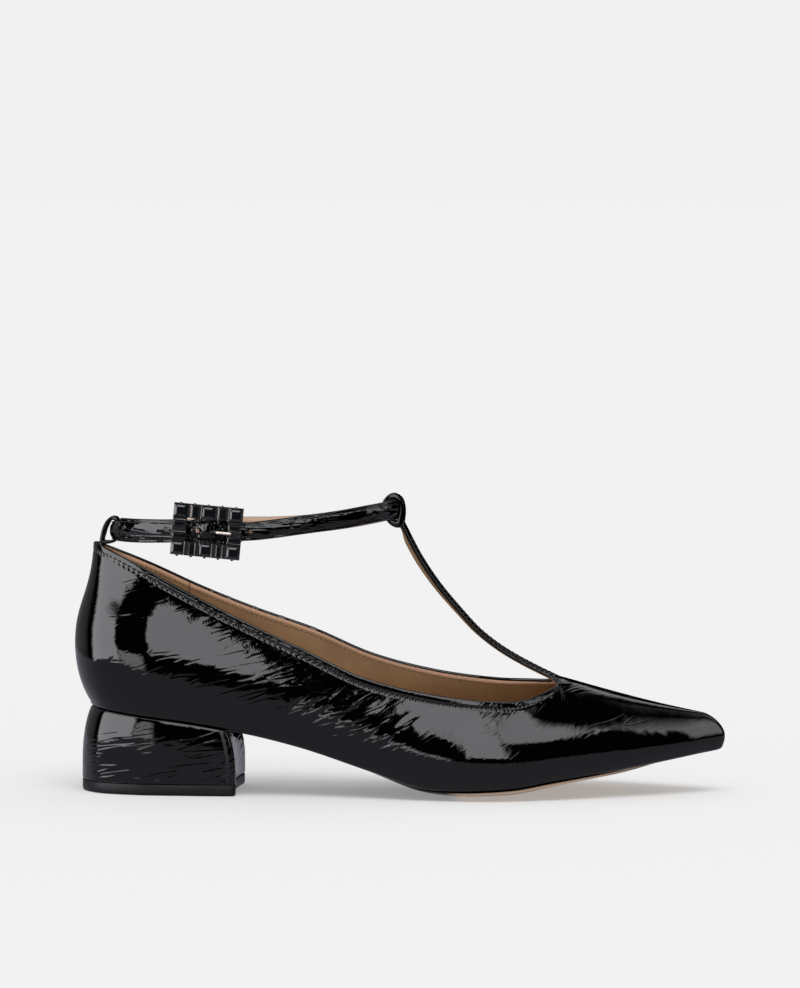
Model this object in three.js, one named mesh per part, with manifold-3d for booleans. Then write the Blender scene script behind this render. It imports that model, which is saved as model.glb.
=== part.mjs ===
// A right-foot women's pointed T-bar court shoe with a block heel and a buckled ankle strap.
// Millimetres, +X to the toe, +Y to the wearer's inner side, +Z up.
// The origin is on the floor, at the middle of the heel's top piece.

import * as THREE from "three";
import Module from "manifold-3d";

const wasm = await Module();
wasm.setup();

// Driving sizes of the last
const shoeLength = 259;
const ballWidth = 76;
const heelHeight = 33.9;
const toeSpring = 15.4;
const counterHeight = 65.3;
const throatHeight = 40.3;

// Driving sizes of the pieces
const wall = 1.8;
const marginWidth = 9;
const featherRadius = 2;
const lipInset = 3.2;
const ridgeRadius = 20;
const fit = 0.3;
const soleThickness = 2.2;
const soleFlat = 0.5;
const insoleThickness = 1.4;
const insoleLift = 2.35;
const topPieceThickness = 4.4;
const heelLength = 57;
const heelFlareBack = 3.7;
const heelFlareFront = 3.3;
const heelFlareSide = 0.4;
const strapWidth = 7.4;
const strapThickness = 1.6;
const barWidth = 9;
const barThickness = 2.2;
const throatFillet = 4;
const loopBand = 1.4;
const ringLength = 113.4;
const ringWidth = 58;
const ringHeight = heelHeight + counterHeight + 12.7;
const backStrapHeight = heelHeight + counterHeight + 4.5;
const buckleLength = 27.4;
const buckleHeight = 20.4;
const buckleTilt = 5.2;
const framePlate = 1.9;
const frameSide = 5.6;
const frameRail = 5.6;
const pinRadius = 0.9;
const stoneHeight = 1.3;
const stoneSlim = 2.7;

const halfBall = ballWidth / 2;
const degree = Math.PI / 180;
const OUTER = -1;
const INNER = 1;

// Rows of a table become objects with named columns.
function table(names, rows) {
  const columns = names.split(" ");
  return rows.map((row) => Object.fromEntries(columns.map((name, i) => [name, row[i]])));
}

// A smooth curve through values at rising stations. An end is mirrored ("even" or "odd") or left open.
function smooth(stations, values, startKind = "open", endKind = "open") {
  const s = [...stations];
  const v = [...values];
  const ghost = (kind, edge, next) => (kind === "even" ? next : 2 * edge - next);
  const last = stations.length - 1;
  s.unshift(2 * stations[0] - stations[1]);
  v.unshift(ghost(startKind, values[0], values[1]));
  s.push(2 * stations[last] - stations[last - 1]);
  v.push(ghost(endKind, values[last], values[last - 1]));
  const slope = (i) => {
    const before = (v[i] - v[i - 1]) / (s[i] - s[i - 1]);
    const after = (v[i + 1] - v[i]) / (s[i + 1] - s[i]);
    const share = (s[i] - s[i - 1]) / (s[i + 1] - s[i - 1]);
    return before * (1 - share) + after * share;
  };
  return (at) => {
    let i = 1;
    while (i < s.length - 3 && at > s[i + 1]) i += 1;
    const h = s[i + 1] - s[i];
    const t = (at - s[i]) / h;
    const t2 = t * t;
    const t3 = t2 * t;
    return v[i] * (2 * t3 - 3 * t2 + 1) + slope(i) * h * (t3 - 2 * t2 + t)
      + v[i + 1] * (3 * t2 - 2 * t3) + slope(i + 1) * h * (t3 - t2);
  };
}

function column(rows, key, name, startKind, endKind) {
  return smooth(rows.map((row) => row[key]), rows.map((row) => row[name]), startKind, endKind);
}

// Underside of the lasted upper along the shoe. x is a share of the length, lift of the heel's height,
// spring of the toe spring, axis of half the ball width. Crown and tilt bend it across the shoe.
const seatRows = table("x lift spring axis crown tilt", [
  [-0.02, 1.040, 0.000, 0.00, 0.0008, 0.000],
  [0.023, 1.000, 0.000, 0.00, 0.0008, 0.000],
  [0.104, 0.912, 0.000, 0.00, 0.0008, 0.000],
  [0.185, 0.825, 0.000, 0.00, 0.0008, 0.000],
  [0.270, 0.723, 0.000, 0.00, 0.0008, 0.030],
  [0.360, 0.563, 0.000, -0.03, 0.0010, 0.060],
  [0.452, 0.323, 0.000, -0.05, 0.0012, 0.055],
  [0.548, 0.058, 0.000, -0.05, 0.0015, 0.025],
  [0.600, 0.003, 0.000, -0.03, 0.0016, 0.008],
  [0.645, 0.000, 0.000, 0.00, 0.0016, 0.000],
  [0.690, 0.000, 0.058, 0.04, 0.0016, 0.000],
  [0.734, 0.000, 0.214, 0.07, 0.0014, 0.000],
  [0.819, 0.000, 0.487, 0.11, 0.0009, 0.000],
  [0.907, 0.000, 0.747, 0.15, 0.0000, 0.000],
  [0.971, 0.000, 0.922, 0.17, 0.0000, 0.000],
  [1.020, 0.000, 1.040, 0.17, 0.0000, 0.000],
]);
const lift = column(seatRows, "x", "lift");
const spring = column(seatRows, "x", "spring");
const axis = column(seatRows, "x", "axis");
const crown = column(seatRows, "x", "crown");
const tilt = column(seatRows, "x", "tilt");
const ballLevel = soleThickness + fit - soleFlat;

function seat(x, y) {
  const share = x / shoeLength;
  const across = y - axis(share) * halfBall;
  const middle = ballLevel + (heelHeight - ballLevel) * lift(share) + toeSpring * spring(share);
  return middle + crown(share) * across * across + tilt(share) * across;
}

// Feather line, the corner where the upper turns under. at runs along it from the heel's back to the toe's
// tip, x is a share of the length, outer and inner are shares of half the ball width.
const featherRows = table("at x outer inner", [
  [0.000, 0.0235, 0.000, 0.000],
  [0.065, 0.0490, -0.425, 0.425],
  [0.125, 0.1050, -0.608, 0.602],
  [0.200, 0.1850, -0.640, 0.615],
  [0.280, 0.2700, -0.636, 0.560],
  [0.360, 0.3590, -0.655, 0.495],
  [0.450, 0.4520, -0.752, 0.530],
  [0.540, 0.5480, -0.895, 0.715],
  [0.625, 0.6370, -0.955, 0.910],
  [0.715, 0.7340, -0.820, 0.955],
  [0.800, 0.8185, -0.572, 0.810],
  [0.895, 0.9070, -0.255, 0.545],
  [0.965, 0.9700, 0.005, 0.325],
  [1.000, 0.9980, 0.172, 0.172],
]);
const featherX = column(featherRows, "at", "x", "even", "even");
const featherY = {
  [OUTER]: column(featherRows, "at", "outer", "odd", "odd"),
  [INNER]: column(featherRows, "at", "inner", "odd", "odd"),
};

function featherPlan(side, at) {
  return new THREE.Vector3(featherX(at) * shoeLength, featherY[side](at) * halfBall, 0);
}

// Outward in plan: square to the feather line, and round the pointed toe away from a spot behind its tip, so
// that lines inside the feather line never cross.
const toeHeart = new THREE.Vector3(0.93 * shoeLength, 0.16 * halfBall, 0);
const toeFrom = 0.93;
const toeBlend = 0.04;

function outward(side, at) {
  if (at <= 0) return new THREE.Vector3(-1, 0, 0);
  if (at >= 1) return new THREE.Vector3(1, 0, 0);
  const step = Math.min(0.002, at, 1 - at);
  const along = featherPlan(side, at + step).sub(featherPlan(side, at - step)).normalize();
  const square = new THREE.Vector3(-along.y, along.x, 0).multiplyScalar(side);
  const fromHeart = featherPlan(side, at).sub(toeHeart).normalize();
  const share = THREE.MathUtils.clamp((at - toeFrom) / toeBlend, 0, 1);
  return square.lerp(fromHeart, share).normalize();
}

// Inside the feather line the sole lies in a shallow recess. thick and edge are the sole's thickness at its
// middle and its edge and recess the depth, all shares of the sole's full thickness, inset is in millimetres.
const soleRows = table("x inset thick edge recess half", [
  [0.00, 3.5, 0.55, 0.55, 0.50, 0.62],
  [0.27, 3.5, 0.55, 0.55, 0.50, 0.62],
  [0.45, 3.5, 0.60, 0.50, 0.50, 0.66],
  [0.50, 3.5, 0.75, 0.42, 0.28, 0.73],
  [0.55, 2.4, 0.92, 0.38, 0.02, 0.83],
  [0.59, 1.0, 0.98, 0.38, 0.00, 0.89],
  [0.64, 0.6, 1.00, 0.45, 0.00, 0.93],
  [0.70, 0.6, 1.00, 0.52, 0.00, 0.94],
  [0.76, 0.7, 0.85, 0.55, 0.00, 0.84],
  [0.82, 1.6, 0.65, 0.50, 0.00, 0.68],
  [0.86, 3.5, 0.55, 0.45, 0.10, 0.55],
  [0.89, 3.5, 0.50, 0.42, 0.40, 0.46],
  [0.93, 3.5, 0.45, 0.40, 0.55, 0.32],
  [1.00, 3.5, 0.45, 0.40, 0.55, 0.20],
]);
const soleInsetAt = column(soleRows, "x", "inset");
const soleThick = column(soleRows, "x", "thick");
const soleEdge = column(soleRows, "x", "edge");
const soleRecess = column(soleRows, "x", "recess");
const soleHalf = column(soleRows, "x", "half");

function recess(x, inset) {
  const ramp = THREE.MathUtils.clamp((inset - featherRadius) / (lipInset - featherRadius), 0, 1);
  return Math.max(0, soleRecess(x / shoeLength)) * soleThickness * ramp;
}

function onSeat(side, at, inset, height = 0) {
  const place = featherPlan(side, at).addScaledVector(outward(side, at), -inset);
  place.z = seat(place.x, place.y) + recess(place.x, inset) + height;
  return place;
}

// Widest line of the walls: bulge is how far it stands outside the feather line, a share of half the ball
// width, rise its height above it, a share of the counter's height. lean is how far the wall's top edge
// tips inward, in degrees.
const wallRows = table("at outerBulge innerBulge outerRise innerRise lean", [
  [0.000, 0.157, 0.157, 0.385, 0.385, 10],
  [0.065, 0.120, 0.120, 0.370, 0.370, 10],
  [0.125, 0.080, 0.080, 0.345, 0.345, 8],
  [0.200, 0.058, 0.064, 0.310, 0.310, 6],
  [0.280, 0.062, 0.090, 0.290, 0.300, 4],
  [0.360, 0.066, 0.135, 0.275, 0.290, 2],
  [0.450, 0.062, 0.160, 0.245, 0.275, 3],
  [0.540, 0.053, 0.125, 0.200, 0.245, 12],
  [0.625, 0.050, 0.080, 0.170, 0.185, 24],
  [0.715, 0.047, 0.058, 0.146, 0.155, 44],
  [0.800, 0.039, 0.045, 0.125, 0.125, 72],
  [0.895, 0.032, 0.032, 0.100, 0.100, 78],
  [0.965, 0.020, 0.020, 0.084, 0.084, 77],
  [1.000, 0.016, 0.016, 0.081, 0.081, 74],
]);
const bulge = {
  [OUTER]: column(wallRows, "at", "outerBulge", "even", "even"),
  [INNER]: column(wallRows, "at", "innerBulge", "even", "even"),
};
const wideRise = {
  [OUTER]: column(wallRows, "at", "outerRise", "even", "even"),
  [INNER]: column(wallRows, "at", "innerRise", "even", "even"),
};
const lean = column(wallRows, "at", "lean", "even", "open");

// Ridge of the vamp from the throat to the toe. x is a share of the length, y of half the ball width,
// rise of the throat's height, half is half the width of the strip along it, in bar widths.
const throatAt = 0.765;
const ridgeRows = table("at x y rise half", [
  [throatAt, 0.747, 0.040, 1.000, 0.5],
  [0.800, 0.788, 0.053, 0.876, 0.5],
  [0.895, 0.884, 0.105, 0.598, 0.34],
  [0.965, 0.948, 0.153, 0.434, 0.16],
  [1.000, 0.967, 0.172, 0.390, 0],
]);
const ridgeX = column(ridgeRows, "at", "x");
const ridgeY = column(ridgeRows, "at", "y");
const ridgeRise = column(ridgeRows, "at", "rise");
const ridgeHalf = column(ridgeRows, "at", "half");

function ridge(at) {
  const x = ridgeX(at) * shoeLength;
  const y = ridgeY(at) * halfBall;
  return new THREE.Vector3(x, y, seat(x, y) + ridgeRise(at) * throatHeight);
}

function stripHalf(at) {
  const start = ridgeX(throatAt) * shoeLength;
  const past = Math.min(1, Math.max(0, (ridgeX(at) * shoeLength - start) / (3 * throatFillet)));
  return Math.max(0, ridgeHalf(at)) * barWidth + throatFillet * (1 - past) * (1 - past);
}

function ridgeStrip(at, across) {
  const place = ridge(at);
  const offset = across * stripHalf(at);
  place.y += offset;
  place.z -= (offset * offset) / (2 * ridgeRadius);
  return place;
}

// Topline from the counter to the throat. x is a share of the length, outer and inner are shares of half
// the ball width, the rises are heights above the feather line as shares of the counter's height.
const collarRows = table("at x outer inner outerRise innerRise", [
  [0.000, 0.0295, 0.000, 0.000, 1.000, 1.000],
  [0.065, 0.0500, -0.262, 0.262, 0.985, 0.970],
  [0.125, 0.1080, -0.450, 0.450, 0.907, 0.894],
  [0.200, 0.1880, -0.541, 0.538, 0.785, 0.787],
  [0.280, 0.2700, -0.603, 0.585, 0.686, 0.696],
  [0.360, 0.3590, -0.680, 0.622, 0.612, 0.640],
  [0.450, 0.4520, -0.745, 0.660, 0.560, 0.596],
  [0.540, 0.5480, -0.785, 0.700, 0.577, 0.623],
  [0.625, 0.6370, -0.745, 0.675, 0.541, 0.608],
  [0.715, 0.7080, -0.540, 0.500, 0.508, 0.565],
]);

function collarLine(side) {
  const name = side === OUTER ? "outer" : "inner";
  const rows = collarRows.map((row) => {
    const base = onSeat(side, row.at, 0).z;
    const z = base + row[name + "Rise"] * counterHeight;
    return { at: row.at, x: row.x * shoeLength, y: row[name] * halfBall, z };
  });
  rows.push({ at: throatAt, ...ridgeStrip(throatAt, side) });
  const x = column(rows, "at", "x", "even", "even");
  const y = column(rows, "at", "y", "odd", "odd");
  const z = column(rows, "at", "z", "even", "open");
  return (at) => new THREE.Vector3(x(at), y(at), z(at));
}
const collar = { [OUTER]: collarLine(OUTER), [INNER]: collarLine(INNER) };

function topEdge(side, at) {
  return at < throatAt ? collar[side](at) : ridgeStrip(at, side);
}

// The upper's section from the lasted margin, round the feather line and up the wall to its top edge
const cornerShare = 0.24;
const lowSteps = 2;
const highSteps = 5;

function marginAt(at) {
  const tipStart = 0.84;
  const tipMargin = 0.4;
  const past = Math.max(0, (at - tipStart) / (1 - tipStart));
  return marginWidth * (1 - (1 - tipMargin) * past);
}

function wallCurves(side, at) {
  const low = onSeat(side, at, 0, featherRadius);
  const wide = onSeat(side, at, 0, wideRise[side](at) * counterHeight);
  wide.addScaledVector(outward(side, at), bulge[side](at) * halfBall);
  const top = topEdge(side, at);
  const bulged = wide.clone().sub(low);
  const rise = top.z - wide.z;
  const angle = lean(at) * degree;
  const lowHandle = low.clone();
  lowHandle.x += bulged.x * 0.55;
  lowHandle.y += bulged.y * 0.55;
  lowHandle.z += bulged.z * 0.22;
  const wideBelow = wide.clone();
  wideBelow.z -= bulged.z * 0.45;
  const wideAbove = wide.clone();
  wideAbove.z += rise * 0.4;
  const topHandle = top.clone();
  topHandle.x += (wide.x - top.x) * 0.5 * Math.sin(angle);
  topHandle.y += (wide.y - top.y) * 0.5 * Math.sin(angle);
  topHandle.z -= rise * 0.5 * Math.cos(angle);
  return [
    new THREE.CubicBezierCurve3(low, lowHandle, wideBelow, wide),
    new THREE.CubicBezierCurve3(wide, wideAbove, topHandle, top),
  ];
}

function upperSection(side, at) {
  const points = [
    onSeat(side, at, marginAt(at)),
    onSeat(side, at, lipInset),
    onSeat(side, at, featherRadius),
    onSeat(side, at, featherRadius * cornerShare, featherRadius * cornerShare),
  ];
  const [low, high] = wallCurves(side, at);
  for (let i = 0; i < lowSteps; i += 1) points.push(low.getPoint(i / lowSteps));
  for (let i = 0; i <= highSteps; i += 1) points.push(high.getPoint(i / highSteps));
  return points;
}

// Triangles are gathered as loose corners and turned into one indexed mesh.
class Facets {
  constructor() {
    this.corners = [];
  }

  triangle(a, b, c) {
    this.corners.push(a, b, c);
  }

  quad(a, b, c, d) {
    this.triangle(a, b, c);
    this.triangle(a, c, d);
  }

  grid(rows, flip = false) {
    for (let i = 0; i + 1 < rows.length; i += 1) {
      for (let j = 0; j + 1 < rows[i].length; j += 1) {
        const loop = [rows[i][j], rows[i + 1][j], rows[i + 1][j + 1], rows[i][j + 1]];
        if (flip) loop.reverse();
        this.quad(...loop);
      }
    }
  }

  fan(loop, flip = false) {
    const middle = loop.reduce((sum, p) => sum.add(p), new THREE.Vector3()).divideScalar(loop.length);
    loop.forEach((p, i) => {
      const next = loop[(i + 1) % loop.length];
      if (flip) this.triangle(middle, next, p);
      else this.triangle(middle, p, next);
    });
  }

  indexed() {
    const points = [];
    const seen = new Map();
    const index = this.corners.map((p) => {
      const key = [p.x, p.y, p.z].map((value) => Math.round(value * 500)).join(" ");
      if (!seen.has(key)) {
        seen.set(key, points.length);
        points.push(p.clone());
      }
      return seen.get(key);
    });
    const faces = [];
    for (let i = 0; i < index.length; i += 3) {
      const [a, b, c] = index.slice(i, i + 3);
      if (a !== b && b !== c && c !== a) faces.push([a, b, c]);
    }
    return { points, faces };
  }
}

function volumeOf(points, faces) {
  return faces.reduce((sum, [a, b, c]) => sum + points[a].dot(points[b].clone().cross(points[c])), 0) / 6;
}

function geometryOf({ points, faces }) {
  if (volumeOf(points, faces) < 0) faces.forEach((face) => face.reverse());
  const geometry = new THREE.BufferGeometry();
  const numbers = points.flatMap((p) => [p.x, p.y, p.z]);
  geometry.setAttribute("position", new THREE.Float32BufferAttribute(numbers, 3));
  geometry.setIndex(faces.flat());
  geometry.computeVertexNormals();
  return geometry;
}

// A sheet of facets becomes a closed wall: its own face outside, a copy pushed inward by a depth, and the
// edges between them.
function thicken(sheet, depthAt) {
  const { points, faces } = sheet.indexed();
  const normals = points.map(() => new THREE.Vector3());
  const edges = new Map();
  for (const face of faces) {
    const [a, b, c] = face.map((i) => points[i]);
    const normal = b.clone().sub(a).cross(c.clone().sub(a));
    face.forEach((i, k) => {
      normals[i].add(normal);
      edges.set(face[k] + " " + face[(k + 1) % 3], face);
    });
  }
  const count = points.length;
  const inside = points.map((p, i) => p.clone().addScaledVector(normals[i].normalize(), -depthAt(p)));
  const all = faces.map((face) => [...face]);
  for (const [a, b, c] of faces) all.push([a + count, c + count, b + count]);
  for (const key of edges.keys()) {
    const [a, b] = key.split(" ").map(Number);
    if (!edges.has(b + " " + a)) all.push([b, a, a + count], [b, a + count, b + count]);
  }
  return geometryOf({ points: [...points, ...inside], faces: all });
}

// Joins and cuts of closed meshes
function toSolid(geometry) {
  return new wasm.Manifold(new wasm.Mesh({
    numProp: 3,
    vertProperties: new Float32Array(geometry.getAttribute("position").array),
    triVerts: new Uint32Array(geometry.getIndex().array),
  }));
}

function fromSolid(solid) {
  const mesh = solid.getMesh();
  const points = [];
  for (let i = 0; i < mesh.vertProperties.length; i += mesh.numProp) {
    points.push(new THREE.Vector3(...mesh.vertProperties.slice(i, i + 3)));
  }
  const facets = new Facets();
  for (let i = 0; i < mesh.triVerts.length; i += 3) {
    facets.triangle(...[0, 1, 2].map((k) => points[mesh.triVerts[i + k]]));
  }
  return geometryOf(facets.indexed());
}

function weld(geometry) {
  const flat = geometry.index ? geometry.toNonIndexed() : geometry;
  const position = flat.getAttribute("position");
  const facets = new Facets();
  for (let i = 0; i < position.count; i += 3) {
    facets.triangle(...[0, 1, 2].map((k) => new THREE.Vector3().fromBufferAttribute(position, i + k)));
  }
  return geometryOf(facets.indexed());
}

function join(...geometries) {
  return fromSolid(geometries.map(toSolid).reduce((sum, solid) => sum.add(solid)));
}

function cut(geometry, ...cutters) {
  return fromSolid(cutters.map(toSolid).reduce((rest, cutter) => rest.subtract(cutter), toSolid(geometry)));
}

// A closed loop of points carried through rings and capped at both ends, or joined end to end
function loft(rings, closed = false) {
  const facets = new Facets();
  const turned = rings.map((ring) => [...ring, ring[0]]);
  facets.grid(closed ? [...turned, turned[0]] : turned);
  if (!closed) {
    facets.fan(rings[0], false);
    facets.fan(rings[rings.length - 1], true);
  }
  return geometryOf(facets.indexed());
}

// Stations along the feather line, closer together round the heel, the throat and the toe
function stations(from, to) {
  const marks = [0, 0.02, 0.04, 0.065, 0.095, 0.125, 0.16, 0.2, 0.24, 0.28, 0.32, 0.36, 0.405, 0.45, 0.495,
    0.54, 0.5825, 0.625, 0.66, 0.69, 0.715, 0.735, 0.752, throatAt, 0.78, 0.8, 0.83, 0.865, 0.895, 0.92, 0.945, 0.965,
    0.98, 0.991, 1];
  return [from, ...marks.filter((mark) => mark > from + 0.004 && mark < to - 0.004), to];
}

// T-bar: the outer face's route from the throat to the loop, as shares of the way forward and up
const barRows = table("along back up", [
  [0.000, 0.000, 0.000],
  [0.094, 0.122, 0.054],
  [0.195, 0.250, 0.119],
  [0.300, 0.379, 0.198],
  [0.413, 0.507, 0.299],
  [0.546, 0.636, 0.440],
  [0.687, 0.764, 0.595],
  [0.848, 0.892, 0.789],
  [1.000, 1.000, 1.000],
]);
const loopCentre = new THREE.Vector3(128.3, 0, ringHeight + 0.3);
const barTop = new THREE.Vector3(loopCentre.x + 3.2, 0, loopCentre.z - 4.6);
const barSteps = 16;
const stripAcross = [-1, -0.5, 0, 0.5, 1];

function barRow(along) {
  const base = ridge(throatAt);
  const back = column(barRows, "along", "back");
  const up = column(barRows, "along", "up");
  const place = (at) => new THREE.Vector3(
    base.x + (barTop.x - base.x) * back(at),
    base.y + (barTop.y - base.y) * at,
    base.z + (barTop.z - base.z) * up(at),
  );
  const middle = place(along);
  const ahead = place(along + 0.01).sub(place(along - 0.01)).normalize();
  const face = new THREE.Vector3(0, 1, 0).cross(ahead).normalize();
  const run = base.x - middle.x;
  const shy = Math.max(0, throatFillet - run);
  const fillet = throatFillet - Math.sqrt(throatFillet * throatFillet - shy * shy);
  const half = barWidth / 2 + fillet;
  return stripAcross.map((share) => {
    if (along === 0) return ridgeStrip(throatAt, share);
    const offset = share * half;
    const drop = (offset * offset) / (2 * ridgeRadius);
    return middle.clone().add(new THREE.Vector3(0, offset, 0)).addScaledVector(face, -drop);
  });
}

// A ribbon's band, a flat ring round a strap: an oval in the XZ plane with a width along Y
function bandRing(centre, innerHalf, turn, width, steps = 20) {
  const rings = [];
  for (let i = 0; i < steps; i += 1) {
    const angle = (i / steps) * 2 * Math.PI;
    const round = (value) => Math.sign(value) * Math.abs(value) ** 0.66;
    const at = (grow) => {
      const x = (innerHalf.x + grow) * round(Math.cos(angle));
      const z = (innerHalf.z + grow) * round(Math.sin(angle));
      return new THREE.Vector3(
        centre.x + x * Math.cos(turn) - z * Math.sin(turn),
        0,
        centre.z + x * Math.sin(turn) + z * Math.cos(turn),
      );
    };
    const inner = at(0);
    const outer = at(loopBand);
    const edge = (p, y) => p.clone().setY(centre.y + y);
    const half = width / 2;
    rings.push([edge(inner, half), edge(outer, half), edge(outer, -half), edge(inner, -half)]);
  }
  return loft(rings, true);
}

function makeUpper() {
  const sheet = new Facets();
  for (const side of [OUTER, INNER]) {
    sheet.grid(stations(0, 1).map((at) => upperSection(side, at)), side === INNER);
  }
  const forward = stations(throatAt, 1).map((at) => stripAcross.map((share) => ridgeStrip(at, share)));
  sheet.grid(forward);
  const upward = [];
  for (let i = 0; i <= barSteps; i += 1) {
    const along = (i / barSteps) ** 1.15;
    upward.push(barRow(along));
  }
  sheet.grid(upward, true);
  const throat = ridge(throatAt);
  const depthAt = (p) => {
    const up = THREE.MathUtils.clamp((p.z - throat.z) / (4 * throatFillet), 0, 1);
    const onBar = p.x < throat.x && Math.abs(p.y - throat.y) < barWidth ? up : 0;
    return wall + (barThickness - wall) * onBar;
  };
  const shell = thicken(sheet, depthAt);
  const ring = bandRing(loopCentre, new THREE.Vector3(2.7, 0, 4.9), 11 * degree, barWidth);
  return join(shell, ring);
}

// Two sheets of the same rows and columns, closed at their edges. A sheet that starts or ends in a point
// needs no edge there.
function between(top, bottom, startsInPoint = false, endsInPoint = false) {
  const facets = new Facets();
  const lastRow = top.length - 1;
  const lastColumn = top[0].length - 1;
  const pick = (sheet, j) => sheet.map((row) => row[j]);
  facets.grid(top);
  facets.grid(bottom, true);
  facets.grid([pick(top, 0), pick(bottom, 0)]);
  facets.grid([pick(top, lastColumn), pick(bottom, lastColumn)], true);
  if (!startsInPoint) facets.grid([top[0], bottom[0]], true);
  if (!endsInPoint) facets.grid([top[lastRow], bottom[lastRow]]);
  return geometryOf(facets.indexed());
}

// A plate between two heights, inside the feather line by an inset that can vary along it. Heights are
// functions of the place and of how far it is inside the feather line.
function makePlate({ from, to, inset, top, bottom, across = 6 }) {
  const rows = { top: [], bottom: [] };
  for (const at of stations(from, to)) {
    const edge = inset(at);
    const deep = Math.max(edge + fit, lipInset);
    const pair = (depth) => [OUTER, INNER].map((side) => onSeat(side, at, depth));
    const [outerEdge, innerEdge] = pair(edge);
    const [outer, inner] = pair(deep);
    const places = [[outerEdge, edge]];
    for (let j = 0; j <= across; j += 1) places.push([outer.clone().lerp(inner, j / across), deep]);
    places.push([innerEdge, edge]);
    rows.top.push(places.map(([p, depth]) => p.clone().setZ(top(p.x, p.y, depth))));
    rows.bottom.push(places.map(([p, depth]) => p.clone().setZ(bottom(p.x, p.y, depth))));
  }
  return between(rows.top, rows.bottom, from === 0, to === 1);
}

// Outsole: in its recess at the seat, the waist and the toe, full and showing its edge at the ball
function soleBottom(x, y, inset) {
  const share = x / shoeLength;
  const across = (y - axis(share) * halfBall) / (soleHalf(share) * halfBall);
  const thick = soleThick(share) + (soleEdge(share) - soleThick(share)) * Math.min(1, across * across);
  return Math.max(0, seat(x, y) + recess(x, inset) - fit - soleThickness * thick);
}

function soleInset(at) {
  return soleInsetAt(featherX(at));
}

function makeOutsole() {
  return makePlate({
    from: 0,
    to: 1,
    inset: soleInset,
    top: (x, y, inset) => seat(x, y) + recess(x, inset) - fit,
    bottom: soleBottom,
    across: 6,
  });
}

// Insole on the lasted margins, with the filling between them
function makeInsole() {
  const floor = (x, y) => seat(x, y) + recess(x, lipInset);
  const sheet = makePlate({
    from: 0,
    to: 1,
    inset: () => lipInset,
    top: (x, y) => floor(x, y) + insoleLift + insoleThickness,
    bottom: (x, y) => floor(x, y) + insoleLift,
    across: 6,
  });
  const filling = makePlate({
    from: 0,
    to: 0.9,
    inset: (at) => marginAt(at) + 4 * fit,
    top: (x, y) => floor(x, y) + insoleLift + insoleThickness / 2,
    bottom: (x, y) => floor(x, y) + fit / 2,
    across: 6,
  });
  return join(sheet, filling);
}

// Heel: its outline follows the feather line at the top and flares to the floor
const breastX = featherX(0) * shoeLength + heelLength;
const heelTopInset = 0.5;

function breastAt() {
  let at = 0.15;
  while (featherX(at) * shoeLength < breastX) at += 0.0005;
  return at;
}

function heelOutline(down, inset) {
  const end = breastAt();
  const marks = [0, 0.02, 0.04, 0.065, 0.095, 0.125, 0.16, 0.2, end];
  const backX = featherX(0) * shoeLength;
  const place = (side, at) => {
    const top = featherPlan(side, at).addScaledVector(outward(side, at), -heelTopInset);
    const share = (top.x - backX) / heelLength;
    const x = top.x - heelFlareBack * down * (1 - share) + heelFlareFront * down * share;
    const wide = 1 + (heelFlareSide * down) / halfBall;
    return new THREE.Vector3(x, top.y * wide, 0);
  };
  const outer = marks.map((at) => place(OUTER, at));
  const inner = marks.slice(1).map((at) => place(INNER, at));
  const loop = [...outer.reverse(), ...inner];
  const middle = new THREE.Vector3(backX + heelLength / 2, 0, 0);
  return loop.map((p) => {
    const toMiddle = middle.clone().sub(p);
    return p.clone().addScaledVector(toMiddle.normalize(), inset);
  });
}

function heelBlock(bottomZ) {
  const rings = [];
  for (const up of [0, 0.25, 0.5, 0.7, 0.87, 1]) {
    const outline = heelOutline(1 - up ** 3.3, 0);
    rings.push(outline.map((p) => {
      const topZ = seat(p.x, p.y) - fit;
      return p.clone().setZ(bottomZ + (topZ - bottomZ) * up);
    }));
  }
  const lowered = rings[rings.length - 1];
  const count = lowered.length;
  const facets = new Facets();
  facets.grid(rings.map((ring) => [...ring, ring[0]]));
  facets.fan(rings[0]);
  const half = (count - 1) / 2;
  const rows = [];
  for (let i = 0; i <= half; i += 1) {
    const outer = lowered[half - i];
    const inner = lowered[half + i];
    const row = [0, 0.25, 0.5, 0.75, 1].map((share) => {
      const place = outer.clone().lerp(inner, share);
      if (share > 0 && share < 1) place.z = seat(place.x, place.y) - fit;
      return place;
    });
    rows.push(row);
  }
  facets.grid(rows);
  const breast = rows[rows.length - 1];
  for (let j = 0; j + 1 < breast.length; j += 1) facets.triangle(breast[0], breast[j + 1], breast[j]);
  return facets;
}

function makeHeel() {
  const block = geometryOf(heelBlock(topPieceThickness + fit).indexed());
  const bed = makePlate({
    from: 0,
    to: 0.36,
    inset: (at) => soleInset(at) - fit,
    top: (x, y) => seat(x, y) + soleThickness,
    bottom: (x, y) => soleBottom(x, y, lipInset) - fit,
    across: 6,
  });
  return cut(block, bed);
}

function makeTopPiece() {
  const low = heelOutline(1, 0.6);
  const high = heelOutline(1, 0.1);
  const rise = [
    [low, 0],
    [high, 0.8],
    [high, topPieceThickness],
  ];
  const rings = rise.map(([outline, z]) => outline.map((p) => p.clone().setZ(z)));
  const facets = new Facets();
  facets.grid(rings.map((ring) => [...ring, ring[0]]));
  facets.fan(rings[0]);
  facets.fan(rings[rings.length - 1], true);
  return geometryOf(facets.indexed());
}

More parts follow.
